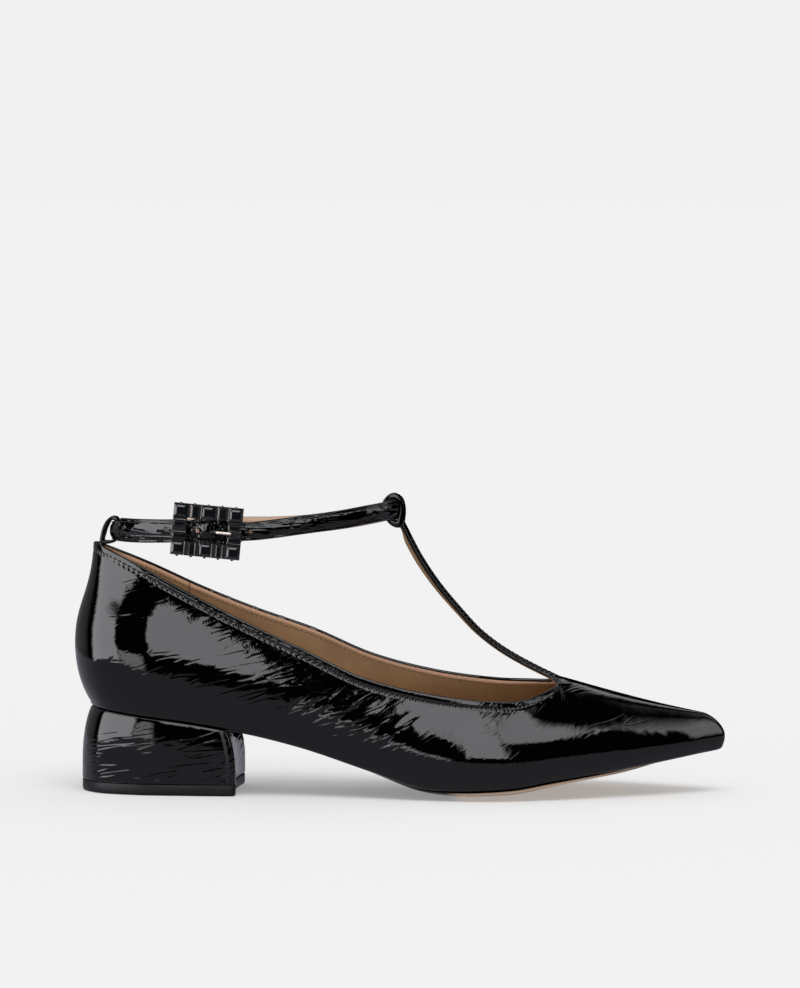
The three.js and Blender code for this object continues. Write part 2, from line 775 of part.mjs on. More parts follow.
// A ribbon along a route: flat faces, bevelled edges, its width kept as upright as the route lets it
function makeRibbon(route, width, thick, perSpan = 3) {
  const marks = route.map((_, i) => i);
  const x = smooth(marks, route.map((p) => p.x));
  const y = smooth(marks, route.map((p) => p.y));
  const z = smooth(marks, route.map((p) => p.z));
  const place = (t) => new THREE.Vector3(x(t), y(t), z(t));
  const rings = [];
  const count = (route.length - 1) * perSpan;
  for (let i = 0; i <= count; i += 1) {
    const t = i / perSpan;
    const ahead = place(Math.min(t + 0.05, route.length - 1)).sub(place(Math.max(t - 0.05, 0))).normalize();
    const up = new THREE.Vector3(0, 0, 1).addScaledVector(ahead, -ahead.z).normalize();
    const out = ahead.clone().cross(up);
    const corner = (w, n) => place(t).addScaledVector(up, w * width).addScaledVector(out, n * thick);
    const bevel = 0.5 - 0.35 * (thick / width);
    const section = [[0.5, 0], [bevel, 0.5], [-bevel, 0.5], [-0.5, 0], [-bevel, -0.5], [bevel, -0.5]];
    rings.push(section.map(([w, n]) => corner(w, n)));
  }
  return loft(rings);
}

// Ankle strap: x runs from the back of its ring as a share of the ring's length, y is a share of half its
// width, drop is how far its middle lies below the ring's front, in millimetres
const ringBack = 15.9;
const pinCentre = new THREE.Vector3(ringBack + 40.5, -29.7, ringHeight - 5.8);
const layer = strapThickness + fit;

function makeAnkleStrap() {
  const ringRow = (x, y, drop) => new THREE.Vector3(
    ringBack + x * ringLength,
    (y * ringWidth) / 2,
    ringHeight - drop,
  );
  const radius = pinRadius + fit + strapThickness / 2 + 0.1;
  const fold = [90, 45, 0, -45, -90].map((angle) => new THREE.Vector3(
    pinCentre.x + radius * Math.cos(angle * degree),
    pinCentre.y + radius * Math.sin(angle * degree),
    pinCentre.z - 0.6,
  ));
  const tail = [
    new THREE.Vector3(pinCentre.x - 11, pinCentre.y + radius + 0.7, pinCentre.z - 1.0),
    new THREE.Vector3(pinCentre.x - 5, pinCentre.y + radius + 0.2, pinCentre.z - 0.8),
  ];
  const base = [
    new THREE.Vector3(pinCentre.x - 4.5, pinCentre.y - radius + 0.5, pinCentre.z - 0.8),
    new THREE.Vector3(pinCentre.x - 10, pinCentre.y - 0.2, pinCentre.z - 1.1),
  ];
  const around = table("x y drop", [
    [0.19, -0.905, 7.4],
    [0.12, -0.760, 7.8],
    [0.055, -0.510, 8.1],
    [0.014, -0.250, 8.2],
    [0.000, 0.000, 8.2],
    [0.014, 0.250, 8.4],
    [0.055, 0.510, 8.8],
    [0.12, 0.740, 9.3],
    [0.20, 0.900, 9.5],
    [0.30, 0.985, 9.2],
    [0.42, 1.000, 8.6],
    [0.55, 0.985, 8.4],
    [0.68, 0.920, 7.3],
    [0.80, 0.770, 5.2],
    [0.90, 0.560, 2.7],
    [0.97, 0.300, 0.5],
    [1.00, 0.000, -0.3],
    [0.975, -0.300, -0.8],
    [0.91, -0.570, 0.1],
    [0.81, -0.790, 1.9],
    [0.69, -0.930, 3.6],
    [0.575, -1.010, 5.3],
    [0.50, -1.045, 6.1],
  ]).map((row) => ringRow(row.x, row.y, row.drop));
  const front = pinCentre.y - radius - layer;
  const over = [
    new THREE.Vector3(pinCentre.x + 9.5, pinCentre.y - 1.2, pinCentre.z - 0.1),
    new THREE.Vector3(pinCentre.x + 4.8, front + 1.6, pinCentre.z),
    new THREE.Vector3(pinCentre.x, front, pinCentre.z),
    new THREE.Vector3(pinCentre.x - 5.0, front + 1.2, pinCentre.z + 0.2),
    new THREE.Vector3(pinCentre.x - 10.5, pinCentre.y - 0.3 - layer, pinCentre.z + 0.4),
    ringRow(0.19, -0.905, 5.4).add(new THREE.Vector3(-0.6, -layer, 0)),
    ringRow(0.12, -0.760, 5.6).add(new THREE.Vector3(-0.9, -layer * 0.95, 0)),
    ringRow(0.055, -0.510, 5.8).add(new THREE.Vector3(-1.5, -layer * 0.7, 0)),
  ];
  return makeRibbon([...tail, ...fold, ...base, ...around, ...over], strapWidth, strapThickness);
}

// Heel loop: a band round the strap and a tongue of the same band down the counter's inner face
function makeHeelLoop() {
  const width = 8;
  const centre = new THREE.Vector3(ringBack - 0.5, 0, backStrapHeight);
  const ring = bandRing(centre, new THREE.Vector3(3.4, 0, 4.1), 0, width);
  const reach = [0.5, 0.65, 0.8, 0.9, 1];
  const high = wallCurves(OUTER, 0)[1];
  const rows = reach.map((t) => high.getPoint(t));
  const top = rows[rows.length - 1].clone().add(new THREE.Vector3(1.6, 0, 2.2));
  rows.push(top);
  const plan = 8.5;
  const layers = [0, 1].map((k) => rows.map((p) => [-1, -0.5, 0, 0.5, 1].map((share) => {
    const y = (share * width) / 2;
    const x = p.x + wall + 3 * fit + (y * y) / (2 * plan) + k * loopBand * 0.75;
    return new THREE.Vector3(x, y, p.z);
  })));
  return join(ring, between(...layers));
}

// Buckle, in its own frame: x to the toe, y outward from the foot, z up
function box(x0, x1, y0, y1, z0, z1) {
  const geometry = new THREE.BoxGeometry(x1 - x0, y1 - y0, z1 - z0);
  geometry.translate((x0 + x1) / 2, (y0 + y1) / 2, (z0 + z1) / 2);
  return weld(geometry);
}

const plateBack = -4.2;
const plateFace = plateBack - framePlate;

function makeFrame() {
  const halfX = buckleLength / 2;
  const halfZ = buckleHeight / 2;
  const round = 0.8;
  const shape = new THREE.Shape();
  shape.absarc(halfX - round, halfZ - round, round, 0, Math.PI / 2);
  shape.absarc(round - halfX, halfZ - round, round, Math.PI / 2, Math.PI);
  shape.absarc(round - halfX, round - halfZ, round, Math.PI, 1.5 * Math.PI);
  shape.absarc(halfX - round, round - halfZ, round, 1.5 * Math.PI, 2 * Math.PI);
  const hole = new THREE.Path();
  const openX = halfX - frameSide;
  const openZ = halfZ - frameRail;
  hole.moveTo(-openX, -openZ);
  hole.lineTo(-openX, openZ);
  hole.lineTo(openX, openZ);
  hole.lineTo(openX, -openZ);
  hole.closePath();
  shape.holes.push(hole);
  const settings = { depth: framePlate, bevelEnabled: false, curveSegments: 3 };
  const plate = new THREE.ExtrudeGeometry(shape, settings);
  plate.rotateX(Math.PI / 2);
  plate.translate(0, plateBack, 0);
  const lugX = 1.3;
  const lugLow = openZ + 0.9;
  const lugHigh = lugLow + 2;
  const lugSpan = (low, high) => box(-lugX, lugX, plateBack - 0.4, pinRadius, low, high);
  const lugs = [lugSpan(lugLow, lugHigh), lugSpan(-lugHigh, -lugLow)];
  const pin = new THREE.CylinderGeometry(pinRadius, pinRadius, 2 * lugLow + 2, 10);
  pin.rotateX(Math.PI / 2);
  return join(weld(plate), ...lugs, weld(pin));
}

// The tongue leaves the pin, comes out through the strap and lies on the frame's toe side.
function tongueTube(grow) {
  const half = 0.55 + grow;
  const route = [
    new THREE.Vector3(0.87 - grow, grow - 0.87, 0),
    new THREE.Vector3(2.6, -3.4, 0),
    new THREE.Vector3(4.2, plateFace - 0.6, 0),
    new THREE.Vector3(6.4, plateFace - 1.05, 0),
    new THREE.Vector3(9.8, plateFace - 1.0, 0),
  ];
  const curve = new THREE.CatmullRomCurve3(route);
  const rings = [];
  const steps = 12;
  for (let i = 0; i <= steps; i += 1) {
    const place = curve.getPoint(i / steps);
    const ahead = curve.getTangent(i / steps);
    const out = new THREE.Vector3(0, 0, 1).cross(ahead).normalize();
    const ring = [];
    for (let k = 0; k < 6; k += 1) {
      const angle = (k / 6) * 2 * Math.PI;
      const high = new THREE.Vector3(0, 0, 1).multiplyScalar((half + 0.1) * Math.cos(angle));
      ring.push(place.clone().add(high).addScaledVector(out, half * Math.sin(angle)));
    }
    rings.push(ring);
  }
  return loft(rings);
}

// Step-cut stones: a girdle, a crown and a flat table
function makeStone(halfX, halfZ) {
  const step = Math.min(halfX, halfZ) * 0.45;
  const levels = [
    [0.15, 0],
    [0, 0.45],
    [step * 0.45, 0.8],
    [step, 1],
  ];
  const rings = levels.map(([inset, up]) => {
    const x = halfX - inset;
    const z = halfZ - inset;
    const y = -up * stoneHeight;
    return [[-x, -z], [x, -z], [x, z], [-x, z]].map(([px, pz]) => new THREE.Vector3(px, y, pz));
  });
  return loft(rings);
}

function stonePlaces() {
  const square = frameSide - 0.4;
  const reach = buckleLength / 2 - 0.2 - square / 2;
  const low = buckleHeight / 2 - frameRail / 2;
  const between = (reach - square) / 2 + square / 2 - 0.05;
  const sideLevel = stoneSlim - 0.3;
  const places = [];
  for (const z of [low, -low]) {
    for (const x of [-reach, 0, reach]) places.push({ x, z, halfX: square / 2, halfZ: square / 2 });
    for (const x of [-between, between]) places.push({ x, z, halfX: stoneSlim / 2, halfZ: square / 2 });
  }
  for (const x of [-reach, reach]) {
    for (const z of [-sideLevel, sideLevel]) places.push({ x, z, halfX: square / 2, halfZ: stoneSlim / 2 });
  }
  return places;
}

// Materials
const patent = new THREE.MeshStandardMaterial({ color: 0x08080a, roughness: 0.12, metalness: 0 });
const strapPatent = new THREE.MeshStandardMaterial({ color: 0x0a0a0c, roughness: 0.2, metalness: 0 });
const soleLeather = new THREE.MeshStandardMaterial({ color: 0xc39a78, roughness: 0.6, metalness: 0 });
const insoleLeather = new THREE.MeshStandardMaterial({ color: 0xa98663, roughness: 0.7, metalness: 0 });
const rubber = new THREE.MeshStandardMaterial({ color: 0x101012, roughness: 0.7, metalness: 0 });
const metal = new THREE.MeshStandardMaterial({ color: 0x8e8e94, roughness: 0.25, metalness: 1 });
const jet = new THREE.MeshStandardMaterial({ color: 0x111116, roughness: 0.05, metalness: 0 });

function named(name, geometry, material) {
  const mesh = new THREE.Mesh(geometry, material);
  mesh.name = name;
  return mesh;
}

// The buckle's group stands at its pin, turned with the strap.
const buckle = new THREE.Group();
buckle.position.copy(pinCentre);
buckle.rotation.y = buckleTilt * degree;
buckle.add(named("buckle_frame", makeFrame(), metal));
buckle.add(named("buckle_tongue", tongueTube(0), metal));
stonePlaces().forEach(({ x, z, halfX, halfZ }, i) => {
  const stone = named("stone_" + String(i + 1).padStart(2, "0"), makeStone(halfX, halfZ), jet);
  stone.position.set(x, plateFace - fit, z);
  buckle.add(stone);
});
buckle.updateMatrix();

const slot = tongueTube(fit);
slot.applyMatrix4(buckle.matrix);

const shoe = new THREE.Group();
shoe.add(named("upper", makeUpper(), patent));
shoe.add(named("outsole", makeOutsole(), soleLeather));
shoe.add(named("insole", makeInsole(), insoleLeather));
shoe.add(named("heel", makeHeel(), patent));
shoe.add(named("top_piece", makeTopPiece(), rubber));
shoe.add(named("ankle_strap", cut(makeAnkleStrap(), slot), strapPatent));
shoe.add(named("heel_loop", makeHeelLoop(), strapPatent));
shoe.add(buckle);

const topPieceMiddle = featherX(0) * shoeLength + (heelLength - heelFlareBack + heelFlareFront) / 2;
shoe.position.set(-topPieceMiddle, 0, 0);

const model = new THREE.Group();
model.add(shoe);
export default model;
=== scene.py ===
# A right-foot women's pointed T-bar court shoe in crinkled black patent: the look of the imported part.
# Lengths are millimetres until a mesh is made. Part x runs from the counter's back to the toe's tip.

import math

import bpy
import numpy as np
from mathutils import Matrix, Vector, noise


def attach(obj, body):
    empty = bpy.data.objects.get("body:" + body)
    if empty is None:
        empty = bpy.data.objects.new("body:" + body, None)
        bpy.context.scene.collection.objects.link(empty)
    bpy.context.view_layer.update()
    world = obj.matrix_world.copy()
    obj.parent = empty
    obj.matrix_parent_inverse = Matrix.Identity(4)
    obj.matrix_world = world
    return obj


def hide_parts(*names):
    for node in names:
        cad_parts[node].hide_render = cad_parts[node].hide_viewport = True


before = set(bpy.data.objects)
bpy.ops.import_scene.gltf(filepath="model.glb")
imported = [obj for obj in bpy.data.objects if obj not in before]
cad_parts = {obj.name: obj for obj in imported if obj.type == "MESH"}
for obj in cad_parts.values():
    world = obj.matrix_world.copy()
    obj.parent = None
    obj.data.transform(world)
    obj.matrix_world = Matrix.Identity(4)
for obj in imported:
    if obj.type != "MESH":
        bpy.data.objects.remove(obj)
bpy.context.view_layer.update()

# Sizes of the last and its pieces, as in the part
SHOE_LENGTH = 259
HALF_BALL = 38
HEEL_HEIGHT = 33.9
TOE_SPRING = 15.4
COUNTER_HEIGHT = 65.3
THROAT_HEIGHT = 40.3
WALL = 1.8
MARGIN = 9
FEATHER_RADIUS = 2
LIP_INSET = 3.2
RIDGE_RADIUS = 20
FIT = 0.3
SOLE_THICKNESS = 2.2
SOLE_FLAT = 0.5
INSOLE_THICKNESS = 1.4
INSOLE_LIFT = 2.35
TOP_PIECE = 4.4
HEEL_LENGTH = 57
HEEL_FLARE_BACK = 3.7
HEEL_FLARE_FRONT = 3.3
HEEL_FLARE_SIDE = 0.4
BAR_WIDTH = 9
THROAT_FILLET = 4
LOOP_BAND = 1.4
RING_LENGTH = 113.4
RING_WIDTH = 58
RING_HEIGHT = 111.9
RING_BACK = 15.9
BACK_STRAP_HEIGHT = 103.7
STRAP_THICKNESS = 1.6
PIN_RADIUS = 0.9
PIN = np.array([56.4, -29.7, 106.1])
BUCKLE_TILT = 5.2
BUCKLE_LENGTH = 27.4
BUCKLE_HEIGHT = 20.4
FRAME_PLATE = 1.9
FRAME_SIDE = 5.6
FRAME_RAIL = 5.6
STONE_HEIGHT = 1.3
PLATE_BACK = -4.2
PLATE_FACE = PLATE_BACK - FRAME_PLATE
THROAT_AT = 0.765
OUTER = -1
INNER = 1

# Thickness of the patent with its folded edge, and of the lining behind it
RIM = 0.62
SKIN = 0.45


def table(names, rows):
    return dict(zip(names.split(), np.array(rows, float).T))


def smooth(stations, values, start="open", end="open"):
    """A smooth curve through values at rising stations, its ends mirrored (even or odd) or open."""
    def ghost(kind, edge, near):
        return near if kind == "even" else 2 * edge - near

    s = np.array([2 * stations[0] - stations[1], *stations, 2 * stations[-1] - stations[-2]], float)
    v = np.array([ghost(start, values[0], values[1]), *values, ghost(end, values[-1], values[-2])], float)
    rise = np.diff(v) / np.diff(s)
    share = (s[1:-1] - s[:-2]) / (s[2:] - s[:-2])
    slope = rise[:-1] * (1 - share) + rise[1:] * share
    knots = s[1:-1]
    heights = v[1:-1]

    def at(place):
        place = np.asarray(place, float)
        i = np.clip(np.searchsorted(knots, place) - 1, 0, len(knots) - 2)
        h = knots[i + 1] - knots[i]
        t = (place - knots[i]) / h
        t2 = t * t
        t3 = t2 * t
        return (heights[i] * (2 * t3 - 3 * t2 + 1) + slope[i] * h * (t3 - 2 * t2 + t)
                + heights[i + 1] * (3 * t2 - 2 * t3) + slope[i + 1] * h * (t3 - t2))
    return at


def column(rows, key, name, start="open", end="open"):
    return smooth(rows[key], rows[name], start, end)


def unit(v):
    return v / np.maximum(np.linalg.norm(v, axis=-1, keepdims=True), 1e-9)


def pack(x, y, z):
    return np.stack(np.broadcast_arrays(np.asarray(x, float), y, z), -1).astype(float)


# Underside of the lasted upper
seat_rows = table("x lift spring axis crown tilt", [
    [-0.02, 1.040, 0.000, 0.00, 0.0008, 0.000],
    [0.023, 1.000, 0.000, 0.00, 0.0008, 0.000],
    [0.104, 0.912, 0.000, 0.00, 0.0008, 0.000],
    [0.185, 0.825, 0.000, 0.00, 0.0008, 0.000],
    [0.270, 0.723, 0.000, 0.00, 0.0008, 0.030],
    [0.360, 0.563, 0.000, -0.03, 0.0010, 0.060],
    [0.452, 0.323, 0.000, -0.05, 0.0012, 0.055],
    [0.548, 0.058, 0.000, -0.05, 0.0015, 0.025],
    [0.600, 0.003, 0.000, -0.03, 0.0016, 0.008],
    [0.645, 0.000, 0.000, 0.00, 0.0016, 0.000],
    [0.690, 0.000, 0.058, 0.04, 0.0016, 0.000],
    [0.734, 0.000, 0.214, 0.07, 0.0014, 0.000],
    [0.819, 0.000, 0.487, 0.11, 0.0009, 0.000],
    [0.907, 0.000, 0.747, 0.15, 0.0000, 0.000],
    [0.971, 0.000, 0.922, 0.17, 0.0000, 0.000],
    [1.020, 0.000, 1.040, 0.17, 0.0000, 0.000],
])
lift = column(seat_rows, "x", "lift")
spring = column(seat_rows, "x", "spring")
axis = column(seat_rows, "x", "axis")
crown = column(seat_rows, "x", "crown")
tilt = column(seat_rows, "x", "tilt")
BALL_LEVEL = SOLE_THICKNESS + FIT - SOLE_FLAT


def seat(x, y):
    share = x / SHOE_LENGTH
    across = y - axis(share) * HALF_BALL
    middle = BALL_LEVEL + (HEEL_HEIGHT - BALL_LEVEL) * lift(share) + TOE_SPRING * spring(share)
    return middle + crown(share) * across * across + tilt(share) * across


# Feather line, the corner where the upper turns under
feather_rows = table("at x outer inner", [
    [0.000, 0.0235, 0.000, 0.000],
    [0.065, 0.0490, -0.425, 0.425],
    [0.125, 0.1050, -0.608, 0.602],
    [0.200, 0.1850, -0.640, 0.615],
    [0.280, 0.2700, -0.636, 0.560],
    [0.360, 0.3590, -0.655, 0.495],
    [0.450, 0.4520, -0.752, 0.530],
    [0.540, 0.5480, -0.895, 0.715],
    [0.625, 0.6370, -0.955, 0.910],
    [0.715, 0.7340, -0.820, 0.955],
    [0.800, 0.8185, -0.572, 0.810],
    [0.895, 0.9070, -0.255, 0.545],
    [0.965, 0.9700, 0.005, 0.325],
    [1.000, 0.9980, 0.172, 0.172],
])
feather_x = column(feather_rows, "at", "x", "even", "even")
feather_y = {
    OUTER: column(feather_rows, "at", "outer", "odd", "odd"),
    INNER: column(feather_rows, "at", "inner", "odd", "odd"),
}
TOE_HEART = np.array([0.93 * SHOE_LENGTH, 0.16 * HALF_BALL, 0])


def feather_plan(side, at):
    return pack(feather_x(at) * SHOE_LENGTH, feather_y[side](at) * HALF_BALL, 0)


def outward(side, at):
    at = np.atleast_1d(np.asarray(at, float))
    step = np.clip(np.minimum(at, 1 - at), 1e-5, 0.002)
    along = unit(feather_plan(side, at + step) - feather_plan(side, at - step))
    square = pack(-along[:, 1], along[:, 0], 0) * side
    from_heart = unit(feather_plan(side, at) - TOE_HEART)
    share = np.clip((at - 0.93) / 0.04, 0, 1)[:, None]
    way = unit(square * (1 - share) + from_heart * share)
    way[at <= 0] = [-1, 0, 0]
    way[at >= 1] = [1, 0, 0]
    return way


sole_rows = table("x inset thick edge recess half", [
    [0.00, 3.5, 0.55, 0.55, 0.50, 0.62],
    [0.27, 3.5, 0.55, 0.55, 0.50, 0.62],
    [0.45, 3.5, 0.60, 0.50, 0.50, 0.66],
    [0.50, 3.5, 0.75, 0.42, 0.28, 0.73],
    [0.55, 2.4, 0.92, 0.38, 0.02, 0.83],
    [0.59, 1.0, 0.98, 0.38, 0.00, 0.89],
    [0.64, 0.6, 1.00, 0.45, 0.00, 0.93],
    [0.70, 0.6, 1.00, 0.52, 0.00, 0.94],
    [0.76, 0.7, 0.85, 0.55, 0.00, 0.84],
    [0.82, 1.6, 0.65, 0.50, 0.00, 0.68],
    [0.86, 3.5, 0.55, 0.45, 0.10, 0.55],
    [0.89, 3.5, 0.50, 0.42, 0.40, 0.46],
    [0.93, 3.5, 0.45, 0.40, 0.55, 0.32],
    [1.00, 3.5, 0.45, 0.40, 0.55, 0.20],
])
sole_inset_at = column(sole_rows, "x", "inset")
sole_thick = column(sole_rows, "x", "thick")
sole_edge = column(sole_rows, "x", "edge")
sole_recess = column(sole_rows, "x", "recess")
sole_half = column(sole_rows, "x", "half")


def recess(x, inset):
    ramp = np.clip((inset - FEATHER_RADIUS) / (LIP_INSET - FEATHER_RADIUS), 0, 1)
    return np.maximum(0, sole_recess(x / SHOE_LENGTH)) * SOLE_THICKNESS * ramp


def on_seat(side, at, inset, height=0.0):
    at = np.atleast_1d(np.asarray(at, float))
    inset = np.broadcast_to(np.asarray(inset, float), at.shape)
    place = feather_plan(side, at) - outward(side, at) * inset[:, None]
    place[:, 2] = seat(place[:, 0], place[:, 1]) + recess(place[:, 0], inset) + height
    return place


# Widest line of the walls
wall_rows = table("at outerBulge innerBulge outerRise innerRise lean", [
    [0.000, 0.157, 0.157, 0.385, 0.385, 10],
    [0.065, 0.120, 0.120, 0.370, 0.370, 10],
    [0.125, 0.080, 0.080, 0.345, 0.345, 8],
    [0.200, 0.058, 0.064, 0.310, 0.310, 6],
    [0.280, 0.062, 0.090, 0.290, 0.300, 4],
    [0.360, 0.066, 0.135, 0.275, 0.290, 2],
    [0.450, 0.062, 0.160, 0.245, 0.275, 3],
    [0.540, 0.053, 0.125, 0.200, 0.245, 12],
    [0.625, 0.050, 0.080, 0.170, 0.185, 24],
    [0.715, 0.047, 0.058, 0.146, 0.155, 44],
    [0.800, 0.039, 0.045, 0.125, 0.125, 72],
    [0.895, 0.032, 0.032, 0.100, 0.100, 78],
    [0.965, 0.020, 0.020, 0.084, 0.084, 77],
    [1.000, 0.016, 0.016, 0.081, 0.081, 74],
])
bulge = {
    OUTER: column(wall_rows, "at", "outerBulge", "even", "even"),
    INNER: column(wall_rows, "at", "innerBulge", "even", "even"),
}
wide_rise = {
    OUTER: column(wall_rows, "at", "outerRise", "even", "even"),
    INNER: column(wall_rows, "at", "innerRise", "even", "even"),
}
lean = column(wall_rows, "at", "lean", "even", "open")

# Ridge of the vamp from the throat to the toe
ridge_rows = table("at x y rise half", [
    [THROAT_AT, 0.747, 0.040, 1.000, 0.5],
    [0.800, 0.788, 0.053, 0.876, 0.5],
    [0.895, 0.884, 0.105, 0.598, 0.34],
    [0.965, 0.948, 0.153, 0.434, 0.16],
    [1.000, 0.967, 0.172, 0.390, 0],
])
ridge_x = column(ridge_rows, "at", "x")
ridge_y = column(ridge_rows, "at", "y")
ridge_rise = column(ridge_rows, "at", "rise")
ridge_half = column(ridge_rows, "at", "half")


def ridge(at):
    x = ridge_x(at) * SHOE_LENGTH
    y = ridge_y(at) * HALF_BALL
    return pack(x, y, seat(x, y) + ridge_rise(at) * THROAT_HEIGHT)


def ridge_strip(at, across):
    start = ridge_x(THROAT_AT) * SHOE_LENGTH
    past = np.clip((ridge_x(at) * SHOE_LENGTH - start) / (3 * THROAT_FILLET), 0, 1)
    half = np.maximum(0, ridge_half(at)) * BAR_WIDTH + THROAT_FILLET * (1 - past) ** 2
    place = ridge(at)
    offset = across * half
    place[..., 1] += offset
    place[..., 2] -= offset * offset / (2 * RIDGE_RADIUS)
    return place


# Topline from the counter to the throat
collar_rows = table("at x outer inner outerRise innerRise", [
    [0.000, 0.0295, 0.000, 0.000, 1.000, 1.000],
    [0.065, 0.0500, -0.262, 0.262, 0.985, 0.970],
    [0.125, 0.1080, -0.450, 0.450, 0.907, 0.894],
    [0.200, 0.1880, -0.541, 0.538, 0.785, 0.787],
    [0.280, 0.2700, -0.603, 0.585, 0.686, 0.696],
    [0.360, 0.3590, -0.680, 0.622, 0.612, 0.640],
    [0.450, 0.4520, -0.745, 0.660, 0.560, 0.596],
    [0.540, 0.5480, -0.785, 0.700, 0.577, 0.623],
    [0.625, 0.6370, -0.745, 0.675, 0.541, 0.608],
    [0.715, 0.7080, -0.540, 0.500, 0.508, 0.565],
])


def collar_line(side):
    name = "outer" if side == OUTER else "inner"
    base = on_seat(side, collar_rows["at"], 0)[:, 2]
    throat = ridge_strip(np.array([THROAT_AT]), side)[0]
    at = [*collar_rows["at"], THROAT_AT]
    x = [*(collar_rows["x"] * SHOE_LENGTH), throat[0]]
    y = [*(collar_rows[name] * HALF_BALL), throat[1]]
    z = [*(base + collar_rows[name + "Rise"] * COUNTER_HEIGHT), throat[2]]
    curves = smooth(at, x, "even", "even"), smooth(at, y, "odd", "odd"), smooth(at, z, "even", "open")
    return lambda t: pack(*(curve(t) for curve in curves))


collar = {OUTER: collar_line(OUTER), INNER: collar_line(INNER)}


def top_edge(side, at):
    at = np.atleast_1d(np.asarray(at, float))
    before = collar[side](np.minimum(at, THROAT_AT))
    after = ridge_strip(np.maximum(at, THROAT_AT), side)
    return np.where((at < THROAT_AT)[:, None], before, after)


def bezier(points, t):
    a, b, c, d = [p[:, None, :] for p in points]
    t = t[..., None] if t.ndim == 2 else t[None, :, None]
    s = 1 - t
    return a * s ** 3 + 3 * b * s * s * t + 3 * c * s * t * t + d * t ** 3


def wall_handles(side, at):
    low = on_seat(side, at, 0, FEATHER_RADIUS)
    wide = on_seat(side, at, 0, wide_rise[side](at) * COUNTER_HEIGHT)
    wide += outward(side, at) * (bulge[side](at) * HALF_BALL)[:, None]
    top = top_edge(side, at)
    bulged = wide - low
    rise = top[:, 2] - wide[:, 2]
    angle = np.radians(lean(at))
    low_handle = low + bulged * [0.55, 0.55, 0.22]
    below = wide - bulged * [0, 0, 0.45]
    above = wide + pack(0, 0, rise * 0.4)
    top_handle = top.copy()
    top_handle[:, :2] += (wide - top)[:, :2] * (0.5 * np.sin(angle))[:, None]
    top_handle[:, 2] -= rise * 0.5 * np.cos(angle)
    return (low, low_handle, below, wide), (wide, above, top_handle, top)


def stations(count, start=0.0, end=1.0):
    """Places along the feather line, evenly spaced in length, with the throat among them."""
    fine = np.linspace(start, end, 1500)
    run = np.concatenate([[0], np.cumsum(np.linalg.norm(np.diff(feather_plan(OUTER, fine), axis=0), axis=1))])
    at = np.interp(np.linspace(0, run[-1], count), run, fine)
    if start < THROAT_AT < end:
        at[np.argmin(abs(at - THROAT_AT))] = THROAT_AT
    return at


def rim_share(at):
    return np.clip((THROAT_AT - at) / 0.03, 0, 1)


def wall_section(side, at, low_steps, high_steps, trim):
    """The wall from the feather line to its top edge, which stops short by trim millimetres."""
    low, high = wall_handles(side, at)
    length = np.linalg.norm(np.diff(bezier(high, np.linspace(0, 1, 20)), axis=1), axis=2).sum(1)
    end = 1 - trim * rim_share(at) / length
    share = np.linspace(0, 1, high_steps + 1)[None, :] * end[:, None]
    return np.concatenate([bezier(low, np.linspace(0, 1, low_steps + 1)[:-1]), bezier(high, share)], axis=1)


# Meshes
class Sheet:
    """Grids of points gathered into one welded mesh, with a place on the leather for each point."""

    def __init__(self):
        self.points = []
        self.marks = []
        self.quads = []
        self.count = 0

    def grid(self, points, marks=None, flip=False, closed=False):
        rows, columns = points.shape[:2]
        if marks is None:
            marks = np.zeros((rows, columns, 2))
        ids = np.arange(rows * columns).reshape(rows, columns) + self.count
        if closed:
            ids = np.concatenate([ids, ids[:1]])
        quads = np.stack([ids[:-1, :-1], ids[1:, :-1], ids[1:, 1:], ids[:-1, 1:]], -1).reshape(-1, 4)
        self.quads.append(quads[:, ::-1] if flip else quads)
        self.points.append(points.reshape(-1, 3))
        self.marks.append(np.broadcast_to(marks, (rows, columns, 2)).reshape(-1, 2))
        self.count += rows * columns
        return self

    def welded(self):
        points = np.concatenate(self.points)
        marks = np.concatenate(self.marks)
        keys = np.round(points * 200).astype(np.int64)
        _, first, inverse = np.unique(keys, axis=0, return_index=True, return_inverse=True)
        inverse = inverse.ravel()
        faces = []
        for quad in inverse[np.concatenate(self.quads)]:
            face = [v for i, v in enumerate(quad) if v != quad[i - 1]]
            if len(set(face)) > 2:
                faces.append(face)
        return points[first], faces, marks[first]


def corner_normals(points, faces):
    total = np.zeros_like(points)
    for size in (3, 4):
        group = np.array([f for f in faces if len(f) == size])
        if not len(group):
            continue
        if size == 4:
            normal = np.cross(points[group[:, 2]] - points[group[:, 0]], points[group[:, 3]] - points[group[:, 1]])
        else:
            normal = np.cross(points[group[:, 1]] - points[group[:, 0]], points[group[:, 2]] - points[group[:, 0]])
        for k in range(size):
            np.add.at(total, group[:, k], normal)
    return unit(total)


def open_edges(faces):
    ahead = {}
    for face in faces:
        for i, v in enumerate(face):
            ahead[(v, face[(i + 1) % len(face)])] = True
    return {a: b for a, b in ahead if (b, a) not in ahead}


def thicken(points, faces, marks, depth):
    """A sheet becomes a closed skin: a copy pushed in by depth, and walls along its open edges."""
    normals = corner_normals(points, faces)
    count = len(points)
    inside = points - normals * np.reshape(depth, (-1, 1))
    closed = faces + [[v + count for v in reversed(face)] for face in faces]
    closed += [[b, a, a + count, b + count] for a, b in open_edges(faces).items()]
    return np.concatenate([points, inside]), closed, np.concatenate([marks, marks])


SHIFT = 0.0235 * SHOE_LENGTH + (HEEL_LENGTH - HEEL_FLARE_BACK + HEEL_FLARE_FRONT) / 2


